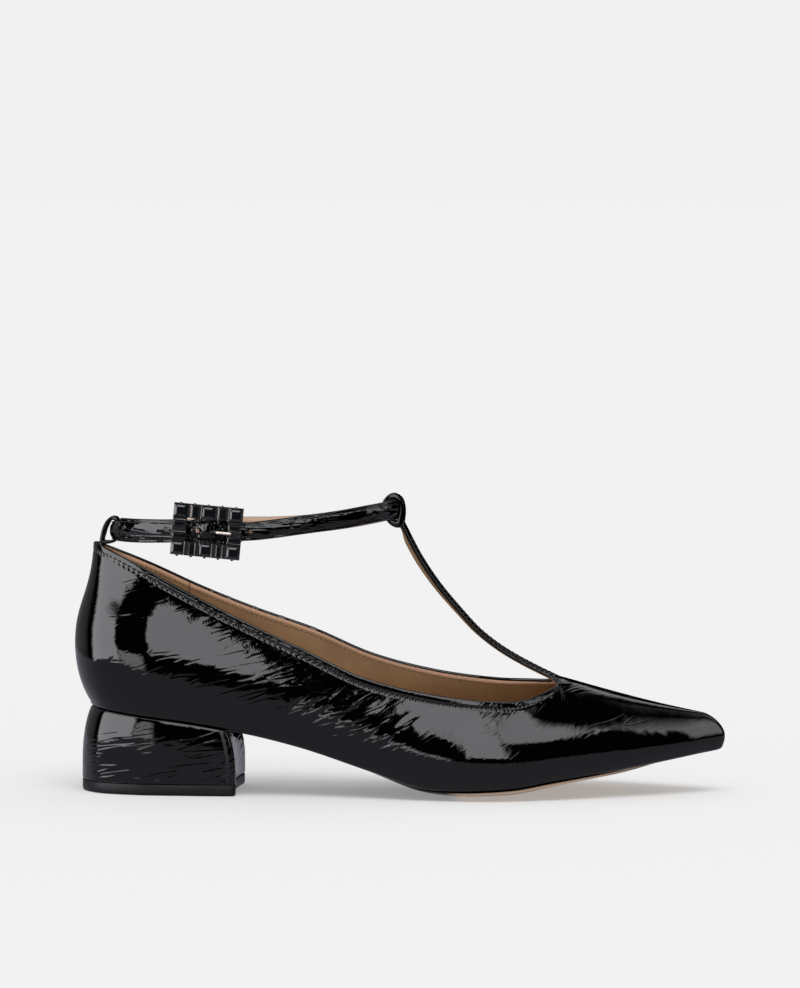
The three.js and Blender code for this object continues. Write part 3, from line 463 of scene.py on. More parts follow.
def add_piece(name, points, faces, material, marks=None, crinkle=0.5, seam=9.0, flat=False, replaces=()):
    mesh = bpy.data.meshes.new(name)
    place = (np.asarray(points) - [SHIFT, 0, 0]) / 1000
    mesh.from_pydata(place.tolist(), [], [list(map(int, face)) for face in faces])
    corners = np.zeros(len(mesh.loops), np.int32)
    mesh.loops.foreach_get("vertex_index", corners)
    layer = mesh.uv_layers.new(name="UVMap")
    if marks is None:
        marks = np.asarray(points)[:, [0, 2]]
    layer.data.foreach_set("uv", (np.asarray(marks)[corners] / 100).astype(np.float32).ravel())
    for key, amount in (("crinkle", crinkle), ("seam", seam)):
        field = mesh.attributes.new(key, "FLOAT", "POINT")
        field.data.foreach_set("value", np.broadcast_to(amount, len(points)).astype(np.float32))
    mesh.materials.append(material)
    mesh.polygons.foreach_set("use_smooth", np.full(len(mesh.polygons), not flat))
    mesh.validate()
    mesh.update()
    piece = bpy.data.objects.new(name, mesh)
    bpy.context.scene.collection.objects.link(piece)
    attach(piece, "root")
    if replaces:
        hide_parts(*replaces)
    return piece


# Materials
def nodes_of(name):
    material = bpy.data.materials.new(name)
    material.use_nodes = True
    tree = material.node_tree
    return material, tree, tree.nodes["Principled BSDF"]


def put(tree, kind, **values):
    node = tree.nodes.new("ShaderNode" + kind)
    for key, value in values.items():
        if key in node.inputs:
            node.inputs[key].default_value = value
        else:
            setattr(node, key, value)
    return node


def maths(tree, operation, a, b=None, clamp=False):
    node = tree.nodes.new("ShaderNodeMath")
    node.operation = operation
    node.use_clamp = clamp
    for socket, value in zip(node.inputs, (a, b)):
        if value is None:
            continue
        if isinstance(value, (int, float)):
            socket.default_value = value
        else:
            tree.links.new(value, socket)
    return node.outputs[0]


def leather_place(tree, turn, stretch):
    """The place on the leather, turned by degrees and stretched along the creases, in millimetres."""
    uv = put(tree, "UVMap", uv_map="UVMap")
    turned = put(tree, "Mapping", Rotation=(0, 0, math.radians(turn)), Scale=(100, 100, 100))
    tree.links.new(uv.outputs[0], turned.inputs["Vector"])
    drawn = put(tree, "Mapping", Scale=(1 / stretch, 1, 1))
    tree.links.new(turned.outputs[0], drawn.inputs["Vector"])
    return drawn.outputs[0]


def ridges(tree, vector, size, detail, sharp, distortion=0.0):
    """Thin creases where a noise crosses its middle value: 0 in a crease, 1 away from it."""
    pattern = put(tree, "TexNoise", Scale=1 / size, Detail=detail, Roughness=0.55, Distortion=distortion)
    tree.links.new(vector, pattern.inputs["Vector"])
    away = maths(tree, "ABSOLUTE", maths(tree, "SUBTRACT", pattern.outputs["Fac"], 0.5))
    return maths(tree, "MULTIPLY", away, sharp, clamp=True)


def patent(name, crease_turn=38, roughness=0.035, depth=0.1, seam=True):
    """Black patent with long fine creases where the crinkle attribute is high, and puckers along the stitching."""
    material, tree, shader = nodes_of(name)
    shader.inputs["Base Color"].default_value = (0.0008, 0.0008, 0.001, 1)
    shader.inputs["Roughness"].default_value = roughness
    shader.inputs["IOR"].default_value = 1.5
    amount = put(tree, "Attribute", attribute_name="crinkle").outputs["Fac"]
    drawn = leather_place(tree, crease_turn, 5.5)
    broad = ridges(tree, drawn, 5.0, 0.0, 4.0, 0.3)
    long = ridges(tree, leather_place(tree, crease_turn, 8.0), 2.8, 0.0, 12.0, 0.15)
    short = ridges(tree, drawn, 1.6, 0.0, 4.0, 0.2)
    even = leather_place(tree, 0, 1.0)
    fine = put(tree, "TexNoise", Scale=1.1, Detail=1.0, Roughness=0.5)
    tree.links.new(even, fine.inputs["Vector"])
    wave = put(tree, "TexNoise", Scale=0.16, Detail=1.0)
    tree.links.new(even, wave.inputs["Vector"])
    creased = maths(tree, "ADD", maths(tree, "MULTIPLY", broad, 0.65), maths(tree, "MULTIPLY", long, 0.9))
    creased = maths(tree, "ADD", creased, maths(tree, "MULTIPLY", short, 0.12))
    creased = maths(tree, "ADD", creased, maths(tree, "MULTIPLY", fine.outputs["Fac"], 0.2))
    height = maths(tree, "MULTIPLY", creased, amount)
    height = maths(tree, "ADD", height, maths(tree, "MULTIPLY", fine.outputs["Fac"], 0.05))
    height = maths(tree, "ADD", height, maths(tree, "MULTIPLY", wave.outputs["Fac"], 0.8))
    if seam:
        uv = put(tree, "UVMap", uv_map="UVMap")
        apart = put(tree, "SeparateXYZ")
        tree.links.new(uv.outputs[0], apart.inputs[0])
        away = put(tree, "Attribute", attribute_name="seam").outputs["Fac"]
        near = maths(tree, "SUBTRACT", 1, maths(tree, "DIVIDE", away, 1.2), clamp=True)
        turns = maths(tree, "SINE", maths(tree, "MULTIPLY", apart.outputs["X"], 100 * 2 * math.pi / 2.1))
        pucker = maths(tree, "MULTIPLY", near, maths(tree, "ADD", maths(tree, "MULTIPLY", turns, 0.6), 1.0))
        height = maths(tree, "SUBTRACT", height, maths(tree, "MULTIPLY", pucker, 1.8))
    bump = put(tree, "Bump", Distance=depth / 1000)
    tree.links.new(height, bump.inputs["Height"])
    tree.links.new(bump.outputs[0], shader.inputs["Normal"])
    return material


def tan_leather(name, dark, light, roughness, grain=0.05, edge=None, seams=(), painted=0):
    """Lining, insole or sole leather. edge lightens a band along its top edge, seams are lines across it."""
    material, tree, shader = nodes_of(name)
    shader.inputs["Roughness"].default_value = roughness
    shader.inputs["IOR"].default_value = 1.45
    place = leather_place(tree, 0, 1.0)
    cloud = put(tree, "TexNoise", Scale=0.06, Detail=4.0, Roughness=0.6)
    tree.links.new(place, cloud.inputs["Vector"])
    pores = put(tree, "TexVoronoi", Scale=1.7, Randomness=1.0)
    tree.links.new(place, pores.inputs["Vector"])
    ramp = put(tree, "ValToRGB")
    ramp.color_ramp.elements[0].position = 0.3
    ramp.color_ramp.elements[0].color = (*dark, 1)
    ramp.color_ramp.elements[1].position = 0.72
    ramp.color_ramp.elements[1].color = (*light, 1)
    tree.links.new(cloud.outputs["Fac"], ramp.inputs["Fac"])
    colour = ramp.outputs["Color"]
    if edge:
        uv = put(tree, "UVMap", uv_map="UVMap")
        apart = put(tree, "SeparateXYZ")
        tree.links.new(uv.outputs[0], apart.inputs[0])
        down = maths(tree, "MULTIPLY", apart.outputs["Y"], 100)
        inside = maths(tree, "LESS_THAN", down, edge)
        mix = put(tree, "Mix", data_type="RGBA")
        mix.inputs[7].default_value = (0.5, 0.27, 0.16, 1)
        tree.links.new(colour, mix.inputs[6])
        tree.links.new(inside, mix.inputs[0])
        colour = mix.outputs[2]
    if painted:
        where = put(tree, "TexCoord")
        axes = put(tree, "SeparateXYZ")
        tree.links.new(where.outputs["Object"], axes.inputs[0])
        behind = maths(tree, "DIVIDE", maths(tree, "SUBTRACT", painted / 1000, axes.outputs["X"]), 0.006, clamp=True)
        coat = put(tree, "Mix", data_type="RGBA")
        coat.inputs[7].default_value = (0.006, 0.005, 0.005, 1)
        tree.links.new(colour, coat.inputs[6])
        tree.links.new(behind, coat.inputs[0])
        colour = coat.outputs[2]
    height = maths(tree, "MULTIPLY", pores.outputs["Distance"], 0.6)
    height = maths(tree, "ADD", height, maths(tree, "MULTIPLY", cloud.outputs["Fac"], 1.5))
    for seam in seams:
        uv = put(tree, "UVMap", uv_map="UVMap")
        apart = put(tree, "SeparateXYZ")
        tree.links.new(uv.outputs[0], apart.inputs[0])
        away = maths(tree, "ABSOLUTE", maths(tree, "SUBTRACT", maths(tree, "MULTIPLY", apart.outputs["X"], 100), seam))
        line = maths(tree, "SUBTRACT", 1, maths(tree, "DIVIDE", away, 0.45), clamp=True)
        height = maths(tree, "SUBTRACT", height, maths(tree, "MULTIPLY", line, 4))
        shade = put(tree, "Mix", data_type="RGBA", blend_type="MULTIPLY")
        shade.inputs[7].default_value = (0.42, 0.4, 0.38, 1)
        tree.links.new(colour, shade.inputs[6])
        tree.links.new(line, shade.inputs[0])
        colour = shade.outputs[2]
    tree.links.new(colour, shader.inputs["Base Color"])
    bump = put(tree, "Bump", Distance=grain / 1000)
    tree.links.new(height, bump.inputs["Height"])
    tree.links.new(bump.outputs[0], shader.inputs["Normal"])
    return material


def plain(name, colour, roughness, metallic=0.0, ior=1.5, speck=0.02, speck_size=0.4):
    """A smooth material with a fine wear in its surface."""
    material, tree, shader = nodes_of(name)
    shader.inputs["Roughness"].default_value = roughness
    shader.inputs["Metallic"].default_value = metallic
    shader.inputs["IOR"].default_value = ior
    place = put(tree, "TexCoord")
    cloud = put(tree, "TexNoise", Scale=1000 / (speck_size * 6), Detail=3.0)
    tree.links.new(place.outputs["Object"], cloud.inputs["Vector"])
    ramp = put(tree, "ValToRGB")
    ramp.color_ramp.elements[0].color = (*[c * 0.8 for c in colour], 1)
    ramp.color_ramp.elements[1].color = (*[min(1, c * 1.2) for c in colour], 1)
    tree.links.new(cloud.outputs["Fac"], ramp.inputs["Fac"])
    tree.links.new(ramp.outputs["Color"], shader.inputs["Base Color"])
    bump = put(tree, "Bump", Distance=speck / 1000)
    tree.links.new(cloud.outputs["Fac"], bump.inputs["Height"])
    tree.links.new(bump.outputs[0], shader.inputs["Normal"])
    return material


patent_black = patent("patent_black")
strap_patent = patent("strap_patent", crease_turn=6, depth=0.11, seam=False)
heel_patent = patent("heel_patent", crease_turn=12, depth=0.1, seam=False)
lining_leather = tan_leather("lining_leather", (0.31, 0.175, 0.08), (0.42, 0.245, 0.115), 0.5, edge=1.0, seams=(50,))
strap_lining = tan_leather("strap_lining", (0.5, 0.31, 0.2), (0.62, 0.4, 0.27), 0.55)
insole_leather = tan_leather("insole_leather", (0.36, 0.23, 0.12), (0.45, 0.3, 0.16), 0.55)
sole_leather = tan_leather("sole_leather", (0.38, 0.255, 0.17), (0.46, 0.32, 0.22), 0.5, 0.03, painted=122)
black_thread = plain("black_thread", (0.012, 0.012, 0.013), 0.35)
tan_thread = plain("tan_thread", (0.22, 0.13, 0.08), 0.7)
heel_rubber = plain("heel_rubber", (0.006, 0.006, 0.007), 0.45, ior=1.33, speck=0.03)
gunmetal = plain("gunmetal", (0.09, 0.088, 0.09), 0.28, metallic=1.0)
copper = plain("copper", (0.55, 0.36, 0.27), 0.3, metallic=1.0)
silver = plain("silver", (0.85, 0.72, 0.64), 0.32, metallic=1.0)
jet_stone = plain("jet_stone", (0.008, 0.008, 0.01), 0.04, ior=1.62, speck=0.002)


# Upper: how crinkled the patent is, and its main creases. Places are part x and z in millimetres.
crinkle_zones = table("x z longX longZ amount", [
    [30, 86, 12, 6, 0.55],
    [51, 71, 15, 7, 0.80],
    [70, 62, 15, 8, 0.90],
    [90, 52, 14, 8, 0.95],
    [109, 34, 14, 10, 1.00],
    [124, 25, 9, 8, 0.75],
    [44, 56, 16, 9, 0.40],
    [75, 43, 20, 8, 0.50],
    [150, 33, 18, 7, 0.14],
    [178, 37, 14, 5, 0.55],
    [196, 43, 8, 6, 0.70],
    [214, 28, 12, 5, 0.60],
])


def crinkle_at(points):
    amount = np.full(len(points), 0.12)
    for x, z, long_x, long_z, part in zip(*crinkle_zones.values()):
        away = ((points[:, 0] - x) / long_x) ** 2 + ((points[:, 2] - z) / long_z) ** 2
        amount = np.maximum(amount, part * np.exp(-away * 0.7))
    return amount


main_creases = table("x0 z0 x1 z1 wide deep", [
    [50, 73, 58, 80, 0.85, 0.12],
    [56, 70, 66, 77, 0.85, 0.14],
    [66, 66, 77, 73, 0.9, 0.16],
    [76, 62, 88, 69, 0.9, 0.16],
    [88, 57, 99, 64, 0.9, 0.16],
    [86, 33, 98, 42, 0.95, 0.16],
    [92, 32, 106, 43, 0.95, 0.24],
    [97, 30, 111, 41, 0.95, 0.26],
    [101, 36, 116, 47, 0.95, 0.26],
    [104, 28, 119, 39, 1.0, 0.28],
    [110, 32, 124, 42, 0.95, 0.26],
    [112, 26, 125, 35, 0.95, 0.24],
    [118, 23, 131, 32, 0.95, 0.22],
    [124, 20, 137, 29, 0.95, 0.20],
    [128, 26, 142, 35, 0.95, 0.18],
    [172, 40, 184, 35, 0.9, 0.16],
    [180, 41, 192, 36, 0.9, 0.16],
    [207, 34, 214, 28, 1.4, 0.08],
    [213, 34, 219, 28, 1.4, 0.08],
    [219, 32, 225, 27, 1.4, 0.07],
])


def creased(points):
    """Depth of the main creases: a soft trough with a low ridge beside it."""
    depth = np.zeros(len(points))
    x = points[:, 0]
    z = points[:, 2]
    for x0, z0, x1, z1, wide, deep in zip(*main_creases.values()):
        run = np.array([x1 - x0, z1 - z0], float)
        length = np.hypot(*run)
        run /= length
        along = (x - x0) * run[0] + (z - z0) * run[1]
        bend = 0.8 * np.sin(np.clip(along / length, 0, 1) * math.pi)
        across = (z - z0) * run[0] - (x - x0) * run[1] - bend
        fade = np.clip(np.minimum(along, length - along) / (0.45 * length), 0, 1)
        near = across / wide
        depth += deep * fade * (np.exp(-near * near) - 0.6 * np.exp(-(near - 1.7) ** 2))
    return depth


UPPER_STATIONS = 390
WALL_STEPS = 66
ACROSS = np.linspace(-1, 1, 13)
ON_BAR = 300


def run_along(side, at):
    fine = np.linspace(0, 1, 800)
    plan = feather_plan(side, fine)
    run = np.concatenate([[0], np.cumsum(np.linalg.norm(np.diff(plan, axis=0), axis=1))])
    return np.interp(at, fine, run)


def gaps_of(points, axis=0):
    return np.linalg.norm(np.diff(points, axis=axis), axis=-1)


def wall_points(side, at, steps, trim):
    """The wall from the feather line up, in steps of even length; it stops trim millimetres short."""
    low, high = wall_handles(side, at)
    t = np.linspace(0, 1, 60)
    fine = np.concatenate([bezier(low, t[:-1]), bezier(high, t)], axis=1)
    run = np.concatenate([np.zeros((len(at), 1)), np.cumsum(gaps_of(fine, 1), axis=1)], axis=1)
    stop = run[:, -1] - trim * rim_share(at)
    share = np.linspace(0, 1, steps + 1)
    out = np.empty((len(at), steps + 1, 3))
    for i in range(len(at)):
        for k in range(3):
            out[i, :, k] = np.interp(share * stop[i], run[i], fine[i, :, k])
    return out


def down_from_top(points):
    step = gaps_of(points, 1)
    return np.concatenate([np.cumsum(step[:, ::-1], axis=1)[:, ::-1], np.zeros((len(points), 1))], axis=1)


def side_rows(side, at, steps, trim):
    rows = [on_seat(side, at, inset) for inset in (MARGIN * 0.7, LIP_INSET, FEATHER_RADIUS)]
    for angle in np.radians([30, 60]):
        inset = FEATHER_RADIUS * (1 - math.sin(angle))
        rows.append(on_seat(side, at, inset, FEATHER_RADIUS * (1 - math.cos(angle))))
    points = np.concatenate([np.stack(rows, axis=1), wall_points(side, at, steps, trim)], axis=1)
    down = down_from_top(points)
    along = np.broadcast_to(run_along(side, at)[:, None], down.shape)
    return points, np.stack([along, down], -1)


# T-bar: the outer face's route from the throat to its loop
bar_rows = table("along back up", [
    [0.000, 0.000, 0.000],
    [0.094, 0.122, 0.054],
    [0.195, 0.250, 0.119],
    [0.300, 0.379, 0.198],
    [0.413, 0.507, 0.299],
    [0.546, 0.636, 0.440],
    [0.687, 0.764, 0.595],
    [0.848, 0.892, 0.789],
    [1.000, 1.000, 1.000],
])
bar_back = column(bar_rows, "along", "back")
bar_up = column(bar_rows, "along", "up")
LOOP_CENTRE = np.array([128.3, 0, RING_HEIGHT + 0.3])
BAR_TOP = LOOP_CENTRE + [3.2, 0, -4.6]


def bar_points(along, across, trim):
    """Rows of the T-bar's outer face."""
    base = ridge(np.array([THROAT_AT]))[0]
    reach = BAR_TOP - base

    def place(t):
        return base + reach * pack(bar_back(t), t, bar_up(t))

    middle = place(along)
    ahead = unit(place(along + 0.01) - place(along - 0.01))
    face = np.cross([0, 1, 0], ahead)
    run = base[0] - middle[:, 0]
    shy = np.clip(THROAT_FILLET - run, 0, THROAT_FILLET)
    fillet = THROAT_FILLET - np.sqrt(THROAT_FILLET ** 2 - shy ** 2)
    half = BAR_WIDTH / 2 + fillet - trim * np.clip(run / 6, 0, 1)
    offset = half[:, None] * across
    points = middle[:, None, :] + offset[..., None] * np.array([0, 1, 0])
    points -= face[:, None, :] * (offset ** 2 / (2 * RIDGE_RADIUS))[..., None]
    crown = 0.4 * (1 - (offset / half[:, None]) ** 2) * np.clip(run / 12, 0, 1)[:, None]
    points += face[:, None, :] * crown[..., None]
    start = ridge_strip(np.full(points.shape[1], THROAT_AT), across[0] if across.ndim == 2 else across)
    points[run <= 0] = start
    return points


def skin_sheet(station_count, steps, bar_count, across, trim):
    sheet = Sheet()
    at = stations(station_count)
    for side in (OUTER, INNER):
        points, marks = side_rows(side, at, steps, trim)
        sheet.grid(points, marks, flip=side == INNER)
    ahead = at[at >= THROAT_AT]
    strip = ridge_strip(ahead[:, None] + 0 * across, across[None, :])
    along = np.broadcast_to(run_along(OUTER, ahead)[:, None], strip.shape[:2])
    sheet.grid(strip, np.stack([along, -abs(strip[..., 1] - strip[:, 6:7, 1])], -1))
    along = np.linspace(0, 1, bar_count) ** 1.1
    bar = bar_points(along, across, trim)
    down = BAR_WIDTH / 2 - abs(bar[..., 1])
    sheet.grid(bar, np.stack([np.broadcast_to(ON_BAR + along[:, None] * 90, down.shape), down], -1), flip=True)
    return sheet.welded()


def top_loop(points, faces):
    ahead = open_edges(faces)
    loops = []
    left = set(ahead)
    while left:
        loop = [left.pop()]
        while ahead.get(loop[-1]) in left:
            loop.append(ahead[loop[-1]])
            left.discard(loop[-1])
        loops.append(loop)
    return np.array(max(loops, key=lambda loop: points[loop][:, 2].max()))


def roll_edge(points, faces, marks, radius, turn_in):
    """The skin's top edge rolls inward round a small radius and runs a little way down inside."""
    normals = corner_normals(points, faces)
    loop = top_loop(points, faces)
    p = points[loop]
    n = normals[loop]
    along = unit(np.roll(p, -1, 0) - np.roll(p, 1, 0))
    off = unit(np.cross(along, n))
    rows = [p + off * radius * math.sin(a) - n * radius * (1 - math.cos(a)) for a in np.radians([30, 60, 90, 120, 150, 180])]
    rows.append(p - n * 2 * radius - off * turn_in)
    size = len(loop)
    ring = np.arange(size)
    ids = [loop, *(ring + len(points) + k * size for k in range(len(rows)))]
    quads = []
    for before, after in zip(ids, ids[1:]):
        quads += np.stack([np.roll(before, -1), before, after, np.roll(after, -1)], -1).tolist()
    edge = marks[loop]
    new_marks = [edge - [0, 0.3 * (k + 1)] for k in range(len(rows))]
    return np.concatenate([points, *rows]), list(faces) + quads, np.concatenate([marks, *new_marks])


def seam_distance(points, marks):
    """How far each place on the patent lies from the line of stitches below its edge."""
    before_throat = points[:, 0] < ridge_x(THROAT_AT) * SHOE_LENGTH - 1
    return np.where(before_throat, abs(marks[:, 1] - 2.5), 9.0)


def make_upper():
    points, faces, marks = skin_sheet(UPPER_STATIONS, WALL_STEPS, 130, ACROSS, RIM)
    normals = corner_normals(points, faces)
    amount = crinkle_at(points)
    on_bar = marks[:, 0] > ON_BAR
    amount[on_bar] = 0.3
    depth = np.where(on_bar, 0, creased(points))
    for i in np.nonzero(amount > 0.2)[0]:
        u, v = marks[i]
        a = u * 0.695 - v * 0.719
        b = u * 0.719 + v * 0.695
        rough = abs(noise.noise(Vector((a / 11, b / 3.2, 3)))) + 0.4 * noise.noise(Vector((a / 6, b / 1.7, 9)))
        depth[i] -= 0.12 * min(rough, 0.3) * (amount[i] - 0.1)
    seam = seam_distance(points, marks)
    depth += 0.16 * np.exp(-(seam / 0.6) ** 2)
    points = points - normals * depth[:, None]
    count = len(points)
    points, faces, marks = roll_edge(points, faces, marks, RIM, 2.2)
    amount = crinkle_at(points)
    amount[marks[:, 0] > ON_BAR] = 0.3
    seam = np.concatenate([seam, np.full(len(points) - count, 9.0)])
    return add_piece("upper_patent", points, faces, patent_black, marks, amount, seam, replaces=("upper",))


def make_lining():
    """The lining lies behind the patent, its raw edge just below the rolled edge."""
    points, faces, marks = skin_sheet(170, 26, 70, np.linspace(-1, 1, 13), 1.0)
    back = 2 * RIM + 0.04
    points = points - corner_normals(points, faces) * back
    high = np.clip((points[:, 2] - 62) / 30, 0, 1) * np.clip((104.5 - points[:, 2]) / 4, 0, 1)
    depth = WALL - back + 0.1 + 1.0 * high * (marks[:, 0] > ON_BAR)
    points, faces, marks = thicken(points, faces, marks, depth)
    return add_piece("upper_lining", points, faces, lining_leather, marks)


# Stitches
def stitch_row(tree, path, pitch, length, radius, sink=0.35):
    """Short rounded stitches along a path, laid on the surface under it."""
    path = np.asarray(path)
    run = np.concatenate([[0], np.cumsum(gaps_of(path))])
    count = max(2, round(run[-1] / pitch))
    marks = (np.arange(count) + 0.5) * run[-1] / count
    place = np.stack([np.interp(marks, run, path[:, k]) for k in range(3)], -1)
    ahead = unit(np.stack([np.interp(marks + 0.4, run, path[:, k]) - np.interp(marks - 0.4, run, path[:, k])
                           for k in range(3)], -1))
    template = []
    for share, fat in ((-0.5, 0.35), (-0.38, 0.85), (-0.12, 1.0), (0.12, 1.0), (0.38, 0.85), (0.5, 0.35)):
        for k in range(6):
            angle = k / 6 * 2 * math.pi
            template.append([share * length, fat * radius * math.cos(angle), fat * radius * math.sin(angle)])
    template = np.array(template)
    faces = [[6 * r + k, 6 * r + (k + 1) % 6, 6 * r + 6 + (k + 1) % 6, 6 * r + 6 + k] for r in range(5) for k in range(6)]
    faces += [[5, 4, 3, 2, 1, 0], [30, 31, 32, 33, 34, 35]]
    points = []
    quads = []
    for p, a in zip(place, ahead):
        hit = tree.find_nearest(Vector(p))
        n = unit(np.array(hit[1]))
        a = unit(a - n * np.dot(a, n))
        side = np.cross(n, a)
        base = len(points) * len(template)
        points.append(np.array(hit[0]) + n * radius * (1 - 2 * sink)
                      + template[:, :1] * a + template[:, 1:2] * side + template[:, 2:] * n)
        quads += [[v + base for v in face] for face in faces]
    return np.concatenate(points), quads


def tree_of(piece):
    from mathutils.bvhtree import BVHTree
    mesh = piece.data
    points = [tuple(v.co * 1000 + Vector((SHIFT, 0, 0))) for v in mesh.vertices]
    return BVHTree.FromPolygons(points, [tuple(face.vertices) for face in mesh.polygons])


def joined(parts):
    points = []
    faces = []
    count = 0
    for p, f in parts:
        points.append(p)
        faces += [[v + count for v in face] for face in f]
        count += len(p)
    return np.concatenate(points), faces


def skin_path(side, at, down):
    """A path on the patent that follows the topline at a distance below it."""
    low, high = wall_handles(side, at)
    fine = bezier(high, np.linspace(1, 0, 60))
    run = np.concatenate([np.zeros((len(at), 1)), np.cumsum(gaps_of(fine, 1), axis=1)], axis=1)
    return np.array([[np.interp(down, run[i], fine[i, :, k]) for k in range(3)] for i in range(len(at))])


def edge_path(side, down):
    """The collar's edge from the heel to the throat, and on up the T-bar's edge."""
    at = np.linspace(0, THROAT_AT - 0.012, 150)
    collar_part = skin_path(side, at, down)
    fore = np.array([THROAT_AT + 0.004])
    corner = ridge_strip(fore, side)
    along = np.linspace(0.05, 0.93, 60)
    bar = bar_points(along, np.array([side * (1 - down / (BAR_WIDTH / 2))]), 0)[:, 0]
    return np.concatenate([collar_part, corner, bar])


# Ribbons
def ribbon_frame(route, per_span):
    route = np.asarray(route, float)
    marks = np.arange(len(route))
    curves = [smooth(marks, route[:, k]) for k in range(3)]
    t = np.linspace(0, len(route) - 1, (len(route) - 1) * per_span + 1)

    def place(s):
        return pack(*(curve(s) for curve in curves))

    ahead = unit(place(np.minimum(t + 0.05, marks[-1])) - place(np.maximum(t - 0.05, 0)))
    up = unit(np.array([0, 0, 1]) - ahead * ahead[:, 2:])
    return t, place(t), ahead, up, np.cross(ahead, up)


def section_tube(place, up, out, section, marks_along):
    """A closed tube: section points (along up, along out) at every place, with flat caps."""
    section = np.asarray(section)
    points = place[:, None, :] + up[:, None, :] * section[..., :1] + out[:, None, :] * section[..., 1:]
    rows, size = points.shape[:2]
    across = np.concatenate([[0], np.cumsum(gaps_of(section.reshape(-1, section.shape[-2], 2)[0]))])
    ids = np.arange(rows * size).reshape(rows, size)
    ring = np.concatenate([ids, ids[:, :1]], axis=1)
    faces = np.stack([ring[:-1, :-1], ring[:-1, 1:], ring[1:, 1:], ring[1:, :-1]], -1).reshape(-1, 4).tolist()
    faces += [ids[0][::-1].tolist(), ids[-1].tolist()]
    marks = np.stack([np.broadcast_to(marks_along[:, None], (rows, size)), np.broadcast_to(across, (rows, size))], -1)
    return points.reshape(-1, 3), faces, marks.reshape(-1, 2)


def flat_oval(half_width, low, high, edge, steps=5, inner=6):
    """A flat section between two depths with round edges: (along the width, along the depth)."""
    middle = (low + high) / 2
    depth = (high - low) / 2
    points = []
    for way in (1, -1):
        for angle in np.linspace(-90, 90, steps) * way:
            a = math.radians(angle)
            points.append([way * (half_width - edge + edge * math.cos(a)), middle + depth * math.sin(a)])
        last = points[-1][0]
        points += [[x, middle + way * depth] for x in np.linspace(last, -last, inner + 2)[1:-1]]
    return np.array(points)


def ring_row(x, y, drop):
    return np.array([RING_BACK + x * RING_LENGTH, y * RING_WIDTH / 2, RING_HEIGHT - drop])


def strap_route():
    layer = STRAP_THICKNESS + FIT
    radius = PIN_RADIUS + FIT + STRAP_THICKNESS / 2 + 0.1
    fold = [PIN + [radius * math.cos(math.radians(a)), radius * math.sin(math.radians(a)), -0.6]
            for a in (90, 45, 0, -45, -90)]
    tail = [PIN + [-11, radius + 0.7, -1.0], PIN + [-5, radius + 0.2, -0.8]]
    base = [PIN + [-4.5, -radius + 0.5, -0.8], PIN + [-10, -0.2, -1.1]]
    around = [ring_row(*row) for row in [
        [0.19, -0.905, 7.4],
        [0.12, -0.760, 7.8],
        [0.055, -0.510, 8.1],
        [0.014, -0.250, 8.2],
        [0.000, 0.000, 8.2],
        [0.014, 0.250, 8.4],
        [0.055, 0.510, 8.8],
        [0.12, 0.740, 9.3],
        [0.20, 0.900, 9.5],
        [0.30, 0.985, 9.2],
        [0.42, 1.000, 8.6],
        [0.55, 0.985, 8.4],
        [0.68, 0.920, 7.3],
        [0.80, 0.770, 5.2],
        [0.90, 0.560, 2.7],
        [0.97, 0.300, 0.5],
        [1.00, 0.000, -0.3],
        [0.975, -0.300, -0.8],
        [0.91, -0.570, 0.1],
        [0.81, -0.790, 1.9],
        [0.69, -0.930, 3.6],
        [0.575, -1.010, 5.3],
        [0.50, -1.045, 6.1],
    ]]
    front = -radius - layer
    over = [
        PIN + [9.5, -1.2, -0.1],
        PIN + [4.8, front + 1.6, 0],
        PIN + [0, front, 0],
        PIN + [-5.0, front + 1.2, 0.2],
        PIN + [-10.5, -0.3 - layer, 0.4],
        ring_row(0.19, -0.905, 5.4) + [-0.6, -layer, 0],
        ring_row(0.12, -0.760, 5.6) + [-0.9, -layer * 0.95, 0],
        ring_row(0.055, -0.510, 5.8) + [-1.5, -layer * 0.7, 0],
    ]
    return np.array([*tail, *fold, *base, *around, *over])


STRAP_WIDTH = 7.4
STITCH_LINE = 2.6


def strap_section(crown, rim=0.45):
    """The strap's patent: a crowned face, sunk along its two stitch rows, over a flat back."""
    half = STRAP_WIDTH / 2
    face = np.linspace(-half + 0.35, half - 0.35, 25)
    sunk = 0.3 * np.exp(-((abs(face) - STITCH_LINE) / 0.35) ** 2)
    rise = -0.62 - crown * (1 - (face / half) ** 2) + sunk
    points = [[half - 0.1, 0.3], [half, 0.0], [half - 0.08, -0.35]]
    points += [[w, h] for w, h in zip(face[::-1], rise[::-1])]
    points += [[-half + 0.08, -0.35], [-half, 0.0], [-half + 0.1, 0.3]]
    points += [[w, 0.3] for w in np.linspace(-half + 0.6, half - 0.6, 6)]
    return np.array(points)


def crumple(place, section, spread):
    """The strap swells and wrinkles where it bends over the buckle's bar, and fills the frame's opening."""
    away = (place[:, 0] - PIN[0]) / 8.2
    over = place[:, 1] < PIN[1] - 2
    outside = (np.arange(len(place)) > len(place) * 0.72) & (place[:, 1] < -20)
    wide = 1 + 0.55 * np.exp(-(away - 0.4) ** 4) * outside
    section[..., 0] *= wide[:, None]
    for i in np.nonzero(over & (abs(away) < 1.2))[0]:
        x = place[i, 0] - PIN[0]
        for j in np.nonzero(section[i, :, 1] < -0.3)[0]:
            w = section[i, j, 0]
            bumps = 1.1 * math.exp(-((x + 5.2) / 2.1) ** 2 - (w / 2.6) ** 2)
            bumps += 0.9 * math.exp(-((x + 0.6) / 2.0) ** 2 - ((w - 0.3) / 2.6) ** 2)
            wrinkle = noise.noise(Vector((x / 1.4, w / 1.7, 5.0))) + 0.5 * noise.noise(Vector((x / 0.7, w / 0.8, 8.0)))
            section[i, j, 1] -= bumps + 0.42 * wrinkle * math.exp(-away[i] ** 4) - spread
    return section


